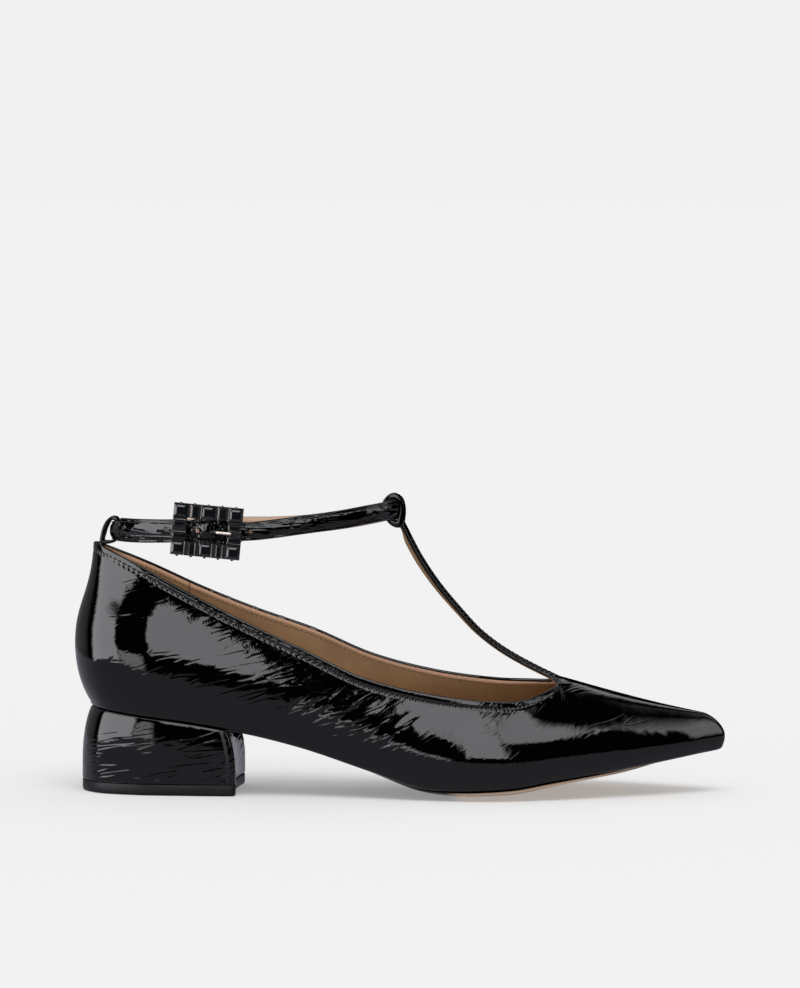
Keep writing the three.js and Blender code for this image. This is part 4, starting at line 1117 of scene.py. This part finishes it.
def make_strap():
    t, place, ahead, up, inward = ribbon_frame(strap_route(), 22)
    run = np.concatenate([[0], np.cumsum(gaps_of(place))])
    clear = np.clip((abs(place[:, 0] - PIN[0]) - 14) / 4, 0, 1)[:, None, None]
    section = strap_section(0.42) * (1 - clear) + strap_section(1.05) * clear
    for i, j in zip(*np.nonzero(section[..., 1] < -0.5)):
        w = section[i, j, 0]
        dent = noise.noise(Vector((run[i] / 4.5, w / 2.2, 2.0))) + 0.4 * noise.noise(Vector((run[i] / 2.0, w / 1.3, 7.0)))
        section[i, j, 1] += 0.28 * dent * clear[i, 0, 0]
    section = crumple(place, section, 0)
    points, faces, marks = section_tube(place, up, inward, section, run)
    piece = add_piece("strap_patent", points, faces, strap_patent, marks, 0.9, replaces=("ankle_strap",))
    lining = flat_oval(STRAP_WIDTH / 2 - 0.12, 0.31, 0.78, 0.2, 3, 2)
    points, faces, marks = section_tube(place[3:-3], up[3:-3], inward[3:-3], lining, run[3:-3])
    add_piece("strap_lining", points, faces, strap_lining, marks)
    tree = tree_of(piece)
    rows = []
    for way in (1, -1):
        path = place + up * way * STITCH_LINE - inward * 1.3
        clear = abs(place[:, 0] - PIN[0]) > 9
        for part in np.split(np.arange(len(path)), np.nonzero(np.diff(clear.astype(int)))[0] + 1):
            if clear[part[0]] and len(part) > 60:
                rows.append(stitch_row(tree, path[part[6:-6]], 1.9, 1.25, 0.16))
    points, faces = joined(rows)
    add_piece("strap_stitches", points, faces, black_thread)
    eyelets = []
    near = np.arange(len(t)) > len(t) * 0.72
    for x, lift_out in ((73.3, 1.62), (53.4, 2.3)):
        i = np.nonzero(near)[0][np.argmin(abs(place[near, 0] - x))]
        eyelets.append(eyelet(place[i] - inward[i] * lift_out, ahead[i], up[i], -inward[i]))
    points, faces = joined(eyelets)
    add_piece("strap_eyelets", points, faces, copper)


def eyelet(centre, ahead, up, out):
    """A small turned-over metal ring with a dark hole."""
    angle = np.linspace(0, 2 * math.pi, 19)
    rows = []
    for radius, height in ((0.75, -0.3), (0.7, 0.05), (0.55, 0.14), (0.4, 0.06), (0.34, -0.5)):
        rows.append(centre + radius * (np.cos(angle)[:, None] * ahead + np.sin(angle)[:, None] * up) + out * height)
    sheet = Sheet().grid(np.array(rows))
    points, faces, _ = sheet.welded()
    return points, faces


def band_round(outline, centre_y, width, thick, name, material, edge=0.45, replaces=()):
    """A closed band whose side view is an outline in x and z, with round edges."""
    outline = np.asarray(outline, float)
    count = len(outline)
    marks = np.arange(-2, count + 3)
    t = np.linspace(0, count, count * 9, endpoint=False)
    curve = [smooth(marks, outline[marks % count, k]) for k in range(2)]
    line = np.stack([curve[0](t), curve[1](t)], -1)
    ahead = unit(np.roll(line, -1, 0) - np.roll(line, 1, 0))
    out = np.stack([ahead[:, 1], -ahead[:, 0]], -1)
    if np.sum((line - line.mean(0)) * out) < 0:
        out = -out
    thick = np.interp(t, np.arange(count + 1), [*thick, thick[0]])
    half = width / 2
    rows = []
    for way in (1, -1):
        for a in np.radians(np.linspace(-90, 90, 7)) * way:
            shy = (thick / 2)[:, None] * (math.sin(a) - 1) * out
            y = way * (half - edge + edge * math.cos(a))
            rows.append(pack((line + shy)[:, 0], centre_y + y, (line + shy)[:, 1]))
        face = line + (thick / 2)[:, None] * (way - 1) * out
        rows += [pack(face[:, 0], centre_y + way * y, face[:, 1]) for y in (half * 0.5, 0, -half * 0.5)]
    grid = np.stack(rows + rows[:1], axis=1)
    across = np.broadcast_to(np.linspace(0, 2 * half + 2, grid.shape[1]), grid.shape[:2])
    along = np.broadcast_to((t * 3)[:, None], grid.shape[:2])
    sheet = Sheet()
    sheet.grid(grid, np.stack([along, across], -1), closed=True)
    points, faces, marks = sheet.welded()
    centre = grid.mean((0, 1))
    normals = corner_normals(points, faces)
    if np.median(np.einsum("ij,ij->i", normals, points - centre)[abs(points[:, 1] - centre_y) > half * 0.98]) < 0:
        faces = [face[::-1] for face in faces]
    add_piece(name, points, faces, material, marks, 0.45, replaces=replaces)


def make_bar_loop():
    """The T-bar's end folded back over the ankle strap."""
    outline = [[131.2, 106.0], [132.0, 109.6], [132.0, 113.4], [130.9, 116.9], [127.9, 118.8], [124.9, 117.9],
               [123.2, 115.2], [123.6, 111.0], [125.6, 107.4], [128.4, 105.6]]
    thick = [2.7, 2.7, 2.0, 2.6, 3.0, 2.6, 1.5, 1.3, 2.0, 2.6]
    band_round(outline, 0, BAR_WIDTH, thick, "bar_loop", strap_patent)


def make_heel_loop():
    outline = [[10.6, 98.9], [10.9, 102.6], [12.1, 106.2], [13.9, 108.6], [15.8, 109.2], [17.6, 108.2],
               [18.4, 104.6], [18.3, 101.2], [16.8, 99.3], [13.6, 98.4]]
    thick = [1.3, 1.6, 1.7, 1.5, 1.3, 1.2, 1.2, 1.2, 1.0, 1.0]
    band_round(outline, 0, 8, thick, "heel_loop_band", strap_patent, replaces=("heel_loop",))
    high = wall_handles(OUTER, np.array([0.0]))[1]
    rows = bezier(high, np.linspace(0.55, 1, 14))[0]
    share = np.linspace(-1, 1, 9)
    y = np.broadcast_to(share * 4, (len(rows), 9))
    x = rows[:, :1] + WALL + FIT + y ** 2 / 17 + LOOP_BAND * 0.75
    sheet = Sheet().grid(np.stack([x, y, np.broadcast_to(rows[:, 2:], y.shape)], -1))
    points, faces, marks = sheet.welded()
    if corner_normals(points, faces)[:, 0].mean() < 0:
        faces = [face[::-1] for face in faces]
    points, faces, marks = thicken(points, faces, points[:, 1:], LOOP_BAND * 0.75)
    add_piece("heel_loop_tab", points, faces, strap_patent, marks)


# Sole, insole and heel
def plate(start, end, inset, top, bottom, count, across):
    """A plate between two heights, inside the feather line by an inset."""
    at = stations(count, start, end)
    edge = {side: on_seat(side, at, inset(at)) for side in (OUTER, INNER)}
    share = np.linspace(0, 1, across + 1)
    plan = edge[OUTER][:, None, :] * (1 - share[:, None]) + edge[INNER][:, None, :] * share[:, None]
    width = np.linalg.norm((edge[INNER] - edge[OUTER])[:, :2], axis=1)
    deep = inset(at)[:, None] + np.minimum(share, 1 - share) * width[:, None]
    x = plan[..., 0]
    y = plan[..., 1]
    return pack(x, y, top(x, y, deep)), pack(x, y, bottom(x, y, deep))


def closed_plate(top, bottom, edge_rows=(0.5,)):
    sheet = Sheet()
    sheet.grid(top)
    sheet.grid(bottom, flip=True)
    for j, flip in ((0, False), (-1, True)):
        sheet.grid(np.stack([top[:, j], bottom[:, j]], axis=1), flip=flip)
    sheet.grid(np.stack([top[0], bottom[0]], axis=0), flip=True)
    sheet.grid(np.stack([top[-1], bottom[-1]], axis=0))
    points, faces, marks = sheet.welded()
    return points, faces, points[:, :2]


def sole_inset(at):
    return sole_inset_at(feather_x(at))


def sole_bottom(x, y, deep):
    share = x / SHOE_LENGTH
    across = y - axis(share) * HALF_BALL
    half = np.maximum(sole_half(share) * HALF_BALL, 1)
    edge = sole_edge(share) * 0.75
    thick = sole_thick(share) + (edge - sole_thick(share)) * np.minimum(1, (across / half) ** 2)
    return np.maximum(0, seat(x, y) + recess(x, deep) - FIT - SOLE_THICKNESS * thick)


def make_outsole():
    top, bottom = plate(0, 1, sole_inset, lambda x, y, d: seat(x, y) + recess(x, d) - FIT, sole_bottom, 200, 24)
    points, faces, marks = closed_plate(top, bottom)
    add_piece("outsole_leather", points, faces, sole_leather, marks, replaces=("outsole",))


def make_insole():
    def floor(x, y):
        return seat(x, y) + recess(x, LIP_INSET)

    top, bottom = plate(0, 1, lambda at: np.full(len(at), LIP_INSET),
                        lambda x, y, d: floor(x, y) + INSOLE_LIFT + INSOLE_THICKNESS,
                        lambda x, y, d: floor(x, y) + INSOLE_LIFT, 120, 14)
    points, faces, marks = closed_plate(top, bottom)
    add_piece("insole_sock", points, faces, insole_leather, marks, replaces=("insole",))


HEEL_BACK = 0.0235 * SHOE_LENGTH


def heel_outline(down, inset, count=64):
    """The heel's outline from its outer breast corner round the back to the inner one."""
    fine = np.linspace(0.15, 0.4, 2000)
    end = fine[np.argmax(feather_x(fine) * SHOE_LENGTH >= HEEL_BACK + HEEL_LENGTH)]
    at = np.linspace(0, 1, count) ** 1.5 * end
    rows = {}
    for side in (OUTER, INNER):
        top = feather_plan(side, at) - outward(side, at) * 0.5
        share = (top[:, 0] - HEEL_BACK) / HEEL_LENGTH
        x = top[:, 0] - HEEL_FLARE_BACK * down * (1 - share) + HEEL_FLARE_FRONT * down * share
        rows[side] = pack(x, top[:, 1] * (1 + HEEL_FLARE_SIDE * down / HALF_BALL), 0)
    loop = np.concatenate([rows[OUTER][::-1], rows[INNER][1:]])
    middle = np.array([HEEL_BACK + HEEL_LENGTH / 2, 0, 0])
    return loop + unit(middle - loop) * inset


def rounded_loop(loop, radius, steps=5, breast=26):
    """The outline closed by the breast, with its two corners rounded."""
    first = loop[0]
    last = loop[-1]
    run_a = np.concatenate([[0], np.cumsum(gaps_of(loop))])

    def on_side(distance, from_end=False):
        d = run_a[-1] - distance if from_end else distance
        return np.array([np.interp(d, run_a, loop[:, k]) for k in range(3)])

    inner = [on_side(d) for d in run_a if radius < d < run_a[-1] - radius]
    way = unit(first - last)

    def corner(start, tip, end):
        t = np.linspace(0, 1, steps)[:, None]
        return (1 - t) ** 2 * start + 2 * t * (1 - t) * tip + t * t * end

    inner_corner = corner(on_side(radius, True), last, last + way * radius)
    outer_corner = corner(first - way * radius, first, on_side(radius))
    share = np.linspace(0, 1, breast)[1:-1, None]
    breast_row = (last + way * radius) * (1 - share) + (first - way * radius) * share
    return np.concatenate([inner, inner_corner, breast_row, outer_corner])


def heel_ring(up, shrink, corner=2.2):
    """The heel's outline at a height, drawn in by shrink. Its sides bulge a little and its breast is hollow."""
    loop = rounded_loop(heel_outline(1 - up ** 3.3, shrink), corner)
    share = np.clip((loop[:, 0] - HEEL_BACK) / HEEL_LENGTH, 0, 1)
    side = 0.5 * math.sin(math.pi * up) - 0.5 * (1 - up) + 1.1 * (share - 0.6) * np.clip(share / 0.3, 0, 1)
    half = np.maximum(abs(loop[:, 1]), 1)
    loop[:, 1] *= 1 + side * np.clip(half / 12, 0, 1) ** 2 / half
    on_breast = np.clip((share - 0.93) / 0.07, 0, 1)
    loop[:, 0] -= 1.6 * on_breast * np.clip(1 - (loop[:, 1] / 21) ** 2, 0, 1)
    return loop


def make_heel():
    low = TOP_PIECE + FIT
    rings = []
    steps = [(0, 0.3), (0.006, 0.08)] + [(u, 0) for u in np.linspace(0.016, 0.985, 30)] + [(0.993, 0.08), (1.0, 0.3)]
    for up, shrink in steps:
        loop = heel_ring(up, shrink)
        top = seat(loop[:, 0], loop[:, 1]) - FIT
        loop[:, 2] = low + (top - low) * up
        rings.append(loop)
    grid = np.stack(rings)
    run = np.concatenate([[0], np.cumsum(gaps_of(rings[0]))])
    marks = np.stack([np.broadcast_to(run, grid.shape[:2]), grid[..., 2] + 20], -1)
    sheet = Sheet()
    sheet.grid(np.concatenate([grid, grid[:, :1]], axis=1), np.concatenate([marks, marks[:, :1]], axis=1), flip=True)
    for ring, flip in ((grid[0], False), (grid[-1], True)):
        centre = ring.mean(0)
        cap = np.stack([ring * (1 - s) + centre * s for s in (0, 0.35, 0.7, 1.0)])
        cap = np.concatenate([cap, cap[:, :1]], axis=1)
        if flip:
            cap[1:, :, 2] = seat(cap[1:, :, 0], cap[1:, :, 1]) - FIT
        sheet.grid(cap, cap[..., :2], flip=not flip)
    points, faces, marks = sheet.welded()
    normals = corner_normals(points, faces)
    wrinkle = np.zeros(len(points))
    for i, p in enumerate(points):
        wavy = Vector((p[0] / 6 + p[1] / 8, p[1] / 8, p[2] / 2.2 + p[0] / 18))
        wrinkle[i] = noise.noise(wavy) + 0.6 * noise.noise(wavy * 2.3)
    height = np.clip((points[:, 2] - low) / 29, 0, 1)
    on_wall = (abs(normals[:, 2]) < 0.7) * np.clip(height * 9 - 0.4, 0, 1)
    points = points + normals * (0.26 * wrinkle * on_wall * np.clip(0.72 - height, 0.03, 0.5))[:, None]
    amount = np.clip(1.05 - height * 1.25, 0.04, 0.8)
    add_piece("heel_cover", points, faces, heel_patent, marks, amount, replaces=("heel",))


def make_top_piece():
    rows = [(0.9, 0), (0.4, 0.2), (0.15, 0.7), (0.05, 1.3), (0.05, TOP_PIECE - 0.25), (0.2, TOP_PIECE)]
    rings = []
    for inset, z in rows:
        loop = heel_ring(0, inset)
        loop[:, 2] = z
        rings.append(loop)
    grid = np.stack(rings)
    closed = np.concatenate([grid, grid[:, :1]], axis=1)
    sheet = Sheet()
    sheet.grid(closed, flip=True)
    for ring, flip in ((closed[0], True), (closed[-1], False)):
        centre = ring.mean(0)
        sheet.grid(np.stack([ring * (1 - s) + centre * s for s in (0, 0.4, 0.8, 1.0)]), flip=not flip)
    points, faces, marks = sheet.welded()
    add_piece("top_piece_rubber", points, faces, heel_rubber, points[:, :2], replaces=("top_piece",))


# Buckle, in its own frame: x to the toe, y outward from the foot, z up
def to_shoe(points):
    turn = math.radians(BUCKLE_TILT)
    p = np.asarray(points, float)
    x = p[..., 0] * math.cos(turn) + p[..., 2] * math.sin(turn)
    z = p[..., 2] * math.cos(turn) - p[..., 0] * math.sin(turn)
    return np.stack([x, p[..., 1], z], -1) + PIN


def stone_places():
    square = FRAME_SIDE - 0.4
    slim = 2.7
    reach = BUCKLE_LENGTH / 2 - 0.2 - square / 2
    low = BUCKLE_HEIGHT / 2 - FRAME_RAIL / 2
    between = (reach - square) / 2 + square / 2 - 0.05
    places = []
    for z in (low, -low):
        places += [(x, z, square / 2, square / 2) for x in (-reach, 0, reach)]
        places += [(x, z, slim / 2, square / 2) for x in (-between, between)]
    places += [(x, z, square / 2, slim / 2) for x in (-reach, reach) for z in (-2.4, 2.4)]
    return places


def make_stones():
    """Step-cut stones; each is set a little askew, so that no two catch the light alike."""
    askew = [(0.03, 0.01), (-0.02, 0.03), (0.01, -0.03), (0.03, 0.02), (-0.03, -0.01), (0.0, 0.03), (0.02, -0.02)]
    for i, (x, z, half_x, half_z) in enumerate(stone_places()):
        step = min(half_x, half_z)
        tip_x, tip_z = askew[i % len(askew)]
        levels = [(0.2, 0.25), (0.02, -0.3), (0.02, -0.5), (step * 0.2, -0.92), (step * 0.42, -1.18), (step * 0.45, -1.2)]
        points = []
        for inset, y in levels:
            a = half_x - inset
            b = half_z - inset
            cut = min(a, b) * 0.12
            for px, pz in ((-a + cut, -b), (a - cut, -b), (a, -b + cut), (a, b - cut), (a - cut, b), (-a + cut, b),
                           (-a, b - cut), (-a, -b + cut)):
                points.append([x + px, PLATE_FACE - FIT + y + px * tip_x + pz * tip_z, z + pz])
        faces = [[8 * r + k, 8 * r + (k + 1) % 8, 8 * r + 8 + (k + 1) % 8, 8 * r + 8 + k]
                 for r in range(5) for k in range(8)]
        faces += [list(range(7, -1, -1)), list(range(40, 48))]
        node = "stone_" + str(i + 1).zfill(2)
        add_piece(node + "_cut", to_shoe(points), faces, jet_stone, flat=True, replaces=(node,))


def bevelled_box(low, high, bevel):
    (x0, y0, z0), (x1, y1, z1) = low, high
    points = []
    for y, b in ((y0, bevel), (y0 + bevel, 0), (y1 - bevel, 0), (y1, bevel)):
        for px, pz in ((x0 + b, z0 + b), (x1 - b, z0 + b), (x1 - b, z1 - b), (x0 + b, z1 - b)):
            points.append([px, y, pz])
    faces = [[4 * r + k, 4 * r + (k + 1) % 4, 4 * r + 4 + (k + 1) % 4, 4 * r + 4 + k] for r in range(3) for k in range(4)]
    return np.array(points, float), faces + [[3, 2, 1, 0], [12, 13, 14, 15]]


def bead(centre, radius, steps=8, squash=1.0):
    rows = []
    for lat in np.radians(np.linspace(-90, 90, steps // 2 + 1)):
        ring = [[radius * math.cos(lat) * math.cos(a), radius * math.sin(lat) * squash, radius * math.cos(lat) * math.sin(a)]
                for a in np.linspace(0, 2 * math.pi, steps + 1)]
        rows.append(ring)
    sheet = Sheet().grid(np.array(rows) + centre, flip=True)
    points, faces, _ = sheet.welded()
    return points, faces


def tube(route, radius, sides=10, per_span=6, flat=1.0):
    _, place, ahead, _, _ = ribbon_frame(route, per_span)
    side = unit(np.cross(ahead, [0.0, 0.0, 1.0]) + 1e-6)
    over = np.cross(side, ahead)
    angle = np.arange(sides) / sides * 2 * math.pi
    section = np.stack([np.cos(angle) * radius * flat, np.sin(angle) * radius], -1)
    points, faces, _ = section_tube(place, over, side, section, np.zeros(len(place)))
    return points, faces


def make_buckle():
    half_x = BUCKLE_LENGTH / 2
    half_z = BUCKLE_HEIGHT / 2
    open_x = half_x - FRAME_SIDE
    open_z = half_z - FRAME_RAIL
    mid = PLATE_FACE
    parts = [
        bevelled_box((-half_x, mid, open_z), (half_x, PLATE_BACK, half_z), 0.25),
        bevelled_box((-half_x, mid, -half_z), (half_x, PLATE_BACK, -open_z), 0.25),
        bevelled_box((-half_x, mid, -open_z - 0.1), (-open_x, PLATE_BACK, open_z + 0.1), 0.25),
        bevelled_box((open_x, mid, -open_z - 0.1), (half_x, PLATE_BACK, open_z + 0.1), 0.25),
    ]
    lug_low = open_z + 0.9
    for low, high in ((lug_low, lug_low + 2), (-lug_low - 2, -lug_low)):
        parts.append(bevelled_box((-1.3, PLATE_BACK - 0.4, low), (1.3, PIN_RADIUS, high), 0.2))
    pin = [[0, 0, z] for z in np.linspace(-lug_low - 1, lug_low + 1, 4)]
    angle = np.arange(14) / 14 * 2 * math.pi
    section = np.stack([np.cos(angle), np.sin(angle)], -1) * PIN_RADIUS
    up = np.broadcast_to([1.0, 0, 0], (4, 3))
    out = np.broadcast_to([0, 1.0, 0], (4, 3))
    parts.append(section_tube(np.array(pin, float), up, out, section, np.zeros(4))[:2])
    points, faces = joined(parts)
    add_piece("buckle_plate", to_shoe(points), faces, gunmetal, flat=True, replaces=("buckle_frame",))
    lines = []
    prongs = []
    for x, z, a, b in stone_places():
        face = PLATE_FACE
        for way in (1, -1):
            edge = x + way * (a + 0.05)
            level = z + way * (b + 0.05)
            if abs(edge) > half_x - 0.6 or abs(level) > half_z - 0.6:
                continue
            if abs(z) > 3:
                lines.append(bevelled_box((edge - 0.17, face - 0.95, z - b), (edge + 0.17, face, z + b), 0.08))
            else:
                lines.append(bevelled_box((x - a, face - 0.6, level - 0.1), (x + a, face, level + 0.1), 0.05))
        ends = [(x, math.copysign(half_z - 0.05, z))] if abs(z) > 3 else [(math.copysign(half_x - 0.05, x), z)]
        for px, pz in ends:
            prongs.append(bead(np.array([px, face - 0.3, pz]), 0.62))
    points, faces = joined(lines)
    add_piece("buckle_settings", to_shoe(points), faces, silver, flat=True)
    points, faces = joined(prongs)
    add_piece("buckle_prongs", to_shoe(points), faces, gunmetal)
    route = [[0.87, -0.87, 0], [2.6, -3.4, 0], [4.2, PLATE_FACE - 0.6, 0], [6.4, PLATE_FACE - 1.05, 0],
             [9.8, PLATE_FACE - 1.0, 0]]
    points, faces = tube(route, 0.55, flat=1.15)
    add_piece("buckle_tongue_rod", to_shoe(points), faces, silver, replaces=("buckle_tongue",))


def make_upper_stitches(patent_piece, lining_piece):
    tree = tree_of(patent_piece)
    rows = [stitch_row(tree, edge_path(side, 2.5), 2.1, 1.35, 0.15, 0.5) for side in (OUTER, INNER)]
    points, faces = joined(rows)
    add_piece("upper_stitches", points, faces, black_thread)
    tree = tree_of(lining_piece)
    rows = []
    for side in (OUTER, INNER):
        path = skin_path(side, np.linspace(0.01, THROAT_AT - 0.02, 150), 2.9)
        inward = -outward(side, np.linspace(0.01, THROAT_AT - 0.02, 150))
        rows.append(stitch_row(tree, path + inward * 2.6, 2.1, 1.3, 0.16))
    points, faces = joined(rows)
    add_piece("lining_stitches", points, faces, tan_thread)


make_upper_stitches(make_upper(), make_lining())
make_strap()
make_bar_loop()
make_heel_loop()
make_outsole()
make_insole()
make_heel()
make_top_piece()
make_buckle()
make_stones()

# Camera at the photograph's angle: almost level, from the outer side
AZIMUTH = math.radians(4)
ELEVATION = math.radians(4.2)
DISTANCE = 2.6
TARGET = Vector((0.09561, 0, 0.1186))
back = Vector((math.sin(AZIMUTH) * math.cos(ELEVATION), -math.cos(AZIMUTH) * math.cos(ELEVATION), math.sin(ELEVATION)))
lens = bpy.data.cameras.new("camera")
lens.sensor_width = 36
lens.lens = 238.63
lens.clip_end = 20
camera = bpy.data.objects.new("camera", lens)
camera.location = TARGET + back * DISTANCE
camera.rotation_euler = (-back).to_track_quat("-Z", "Y").to_euler()
bpy.context.scene.collection.objects.link(camera)
bpy.context.scene.camera = camera


# Stage
def stage_piece(name, points, faces, material):
    mesh = bpy.data.meshes.new(name)
    mesh.from_pydata([tuple(p) for p in points], [], faces)
    mesh.materials.append(material)
    piece = bpy.data.objects.new(name, mesh)
    bpy.context.scene.collection.objects.link(piece)
    return piece


def glow(name, strength, colour=(0.98, 0.98, 1.02, 1)):
    material = bpy.data.materials.new(name)
    material.use_nodes = True
    tree = material.node_tree
    tree.nodes.clear()
    lamp = put(tree, "Emission", Color=colour, Strength=strength)
    end = tree.nodes.new("ShaderNodeOutputMaterial")
    tree.links.new(lamp.outputs[0], end.inputs["Surface"])
    return material


def gloss_only(piece):
    piece.visible_camera = False
    piece.visible_diffuse = False
    piece.visible_shadow = False
    piece.visible_transmission = False
    piece.visible_volume_scatter = False


def softbox(name, azimuths, elevations, strength, fade=(1, 1, 1, 1), radius=6):
    """A lit panel seen only in reflections, between two azimuths and two elevations in degrees.

    fade gives the degrees over which it dims at its left, right, lower and upper edges.
    """
    centre = Vector((0.09, 0, 0.06))
    across = np.linspace(*azimuths, max(2, round((azimuths[1] - azimuths[0]) / 2) + 1))
    up = np.linspace(*elevations, max(2, round((elevations[1] - elevations[0]) / 2) + 1))
    points = []
    light = []
    for el in up:
        for az in across:
            a = math.radians(az)
            e = math.radians(el)
            points.append(centre + radius * Vector((math.sin(a) * math.cos(e), -math.cos(a) * math.cos(e), math.sin(e))))
            edges = (az - azimuths[0], azimuths[1] - az, el - elevations[0], elevations[1] - el)
            shares = [min(1, edge / width) for edge, width in zip(edges, fade) if width]
            light.append(np.prod(shares))
    wide = len(across)
    faces = [[r * wide + k, r * wide + k + 1, (r + 1) * wide + k + 1, (r + 1) * wide + k]
             for r in range(len(up) - 1) for k in range(wide - 1)]
    material = glow(name, strength)
    tree = material.node_tree
    dim = put(tree, "Attribute", attribute_name="light")
    scaled = maths(tree, "MULTIPLY", dim.outputs["Fac"], strength)
    tree.links.new(scaled, tree.nodes["Emission"].inputs["Strength"])
    piece = stage_piece(name, points, faces, material)
    field = piece.data.attributes.new("light", "FLOAT", "POINT")
    field.data.foreach_set("value", np.array(light, np.float32))
    gloss_only(piece)


softbox("softbox_left", (-93, -37), (-10, 40), 4.3, (8, 2, 0, 3))
softbox("softbox_left_below", (-84, -37), (-18, -10), 4.0, (10, 2, 3, 0))
softbox("softbox_left_low", (-37, -15), (-11, 3), 2.6, (0, 5, 3, 2))
softbox("softbox_upper_left", (-131, -98), (49, 62), 4.0, (4, 2, 2, 4))
softbox("softbox_back_left", (-178, -102), (-12, 46), 0.22, (10, 10, 6, 8))
softbox("softbox_front_left", (-9.5, -6), (5, 42), 3.5, (1.5, 0, 1, 0))
softbox("softbox_front_over", (-46, -6), (42, 64), 3.0, (12, 0, 0, 4))
softbox("softbox_front", (-6, 20), (9, 64), 3.4, (0, 4, 1.5, 4))
softbox("softbox_front_right", (16, 67), (44, 70), 3.1, (0, 12, 4, 5))
softbox("softbox_right", (62, 106), (4, 60), 2.3, (4, 14, 12, 20))
softbox("softbox_far_right", (106, 150), (30, 62), 0.6, (10, 12, 10, 14))
softbox("softbox_back", (156, 214), (30, 62), 1.3, (8, 8, 6, 10))

PALE = 0.88
floor_surface, floor_tree, floor_shader = nodes_of("floor")
floor_shader.inputs["Base Color"].default_value = (0.62, 0.62, 0.62, 1)
floor_shader.inputs["Roughness"].default_value = 1
floor_shader.inputs["Specular IOR Level"].default_value = 0
floor_shader.inputs["Emission Color"].default_value = (1, 1, 1, 1)
floor_shader.inputs["Emission Strength"].default_value = PALE - 0.62 * 1.02
floor = stage_piece("floor", [(-8, -8, 0), (8, -8, 0), (8, 8, 0), (-8, 8, 0)], [[0, 1, 2, 3]], floor_surface)
floor.visible_glossy = False
floor.visible_diffuse = False
table_card = [(-0.35, -0.33, -0.0005), (0.6, -0.33, -0.0005), (0.6, 0.5, -0.0005), (-0.35, 0.5, -0.0005)]
under = stage_piece("table_gloss", table_card, [[0, 1, 2, 3]], glow("table_gloss", 0.37, (0.95, 0.95, 1.1, 1)))
gloss_only(under)

world = bpy.data.worlds.new("studio")
bpy.context.scene.world = world
world.use_nodes = True
tree = world.node_tree
tree.nodes.clear()
path = tree.nodes.new("ShaderNodeLightPath")
pale = put(tree, "Background", Color=(PALE, PALE, PALE, 1), Strength=1.0)
soft = put(tree, "Background", Color=(1, 1, 1, 1), Strength=0.6)
dark = put(tree, "Background", Color=(0, 0, 0, 1), Strength=0.0)
gloss_mix = tree.nodes.new("ShaderNodeMixShader")
camera_mix = tree.nodes.new("ShaderNodeMixShader")
end = tree.nodes.new("ShaderNodeOutputWorld")
tree.links.new(path.outputs["Is Glossy Ray"], gloss_mix.inputs[0])
tree.links.new(soft.outputs[0], gloss_mix.inputs[1])
tree.links.new(dark.outputs[0], gloss_mix.inputs[2])
tree.links.new(path.outputs["Is Camera Ray"], camera_mix.inputs[0])
tree.links.new(gloss_mix.outputs[0], camera_mix.inputs[1])
tree.links.new(pale.outputs[0], camera_mix.inputs[2])
tree.links.new(camera_mix.outputs[0], end.inputs["Surface"])

sun_data = bpy.data.lights.new("key", "SUN")
sun_data.energy = 1.46
sun_data.angle = math.radians(40)
sun = bpy.data.objects.new("key", sun_data)
sun.rotation_euler = (math.radians(22), math.radians(4), 0)
sun.visible_glossy = False
bpy.context.scene.collection.objects.link(sun)

bpy.context.scene.view_settings.view_transform = "Standard"
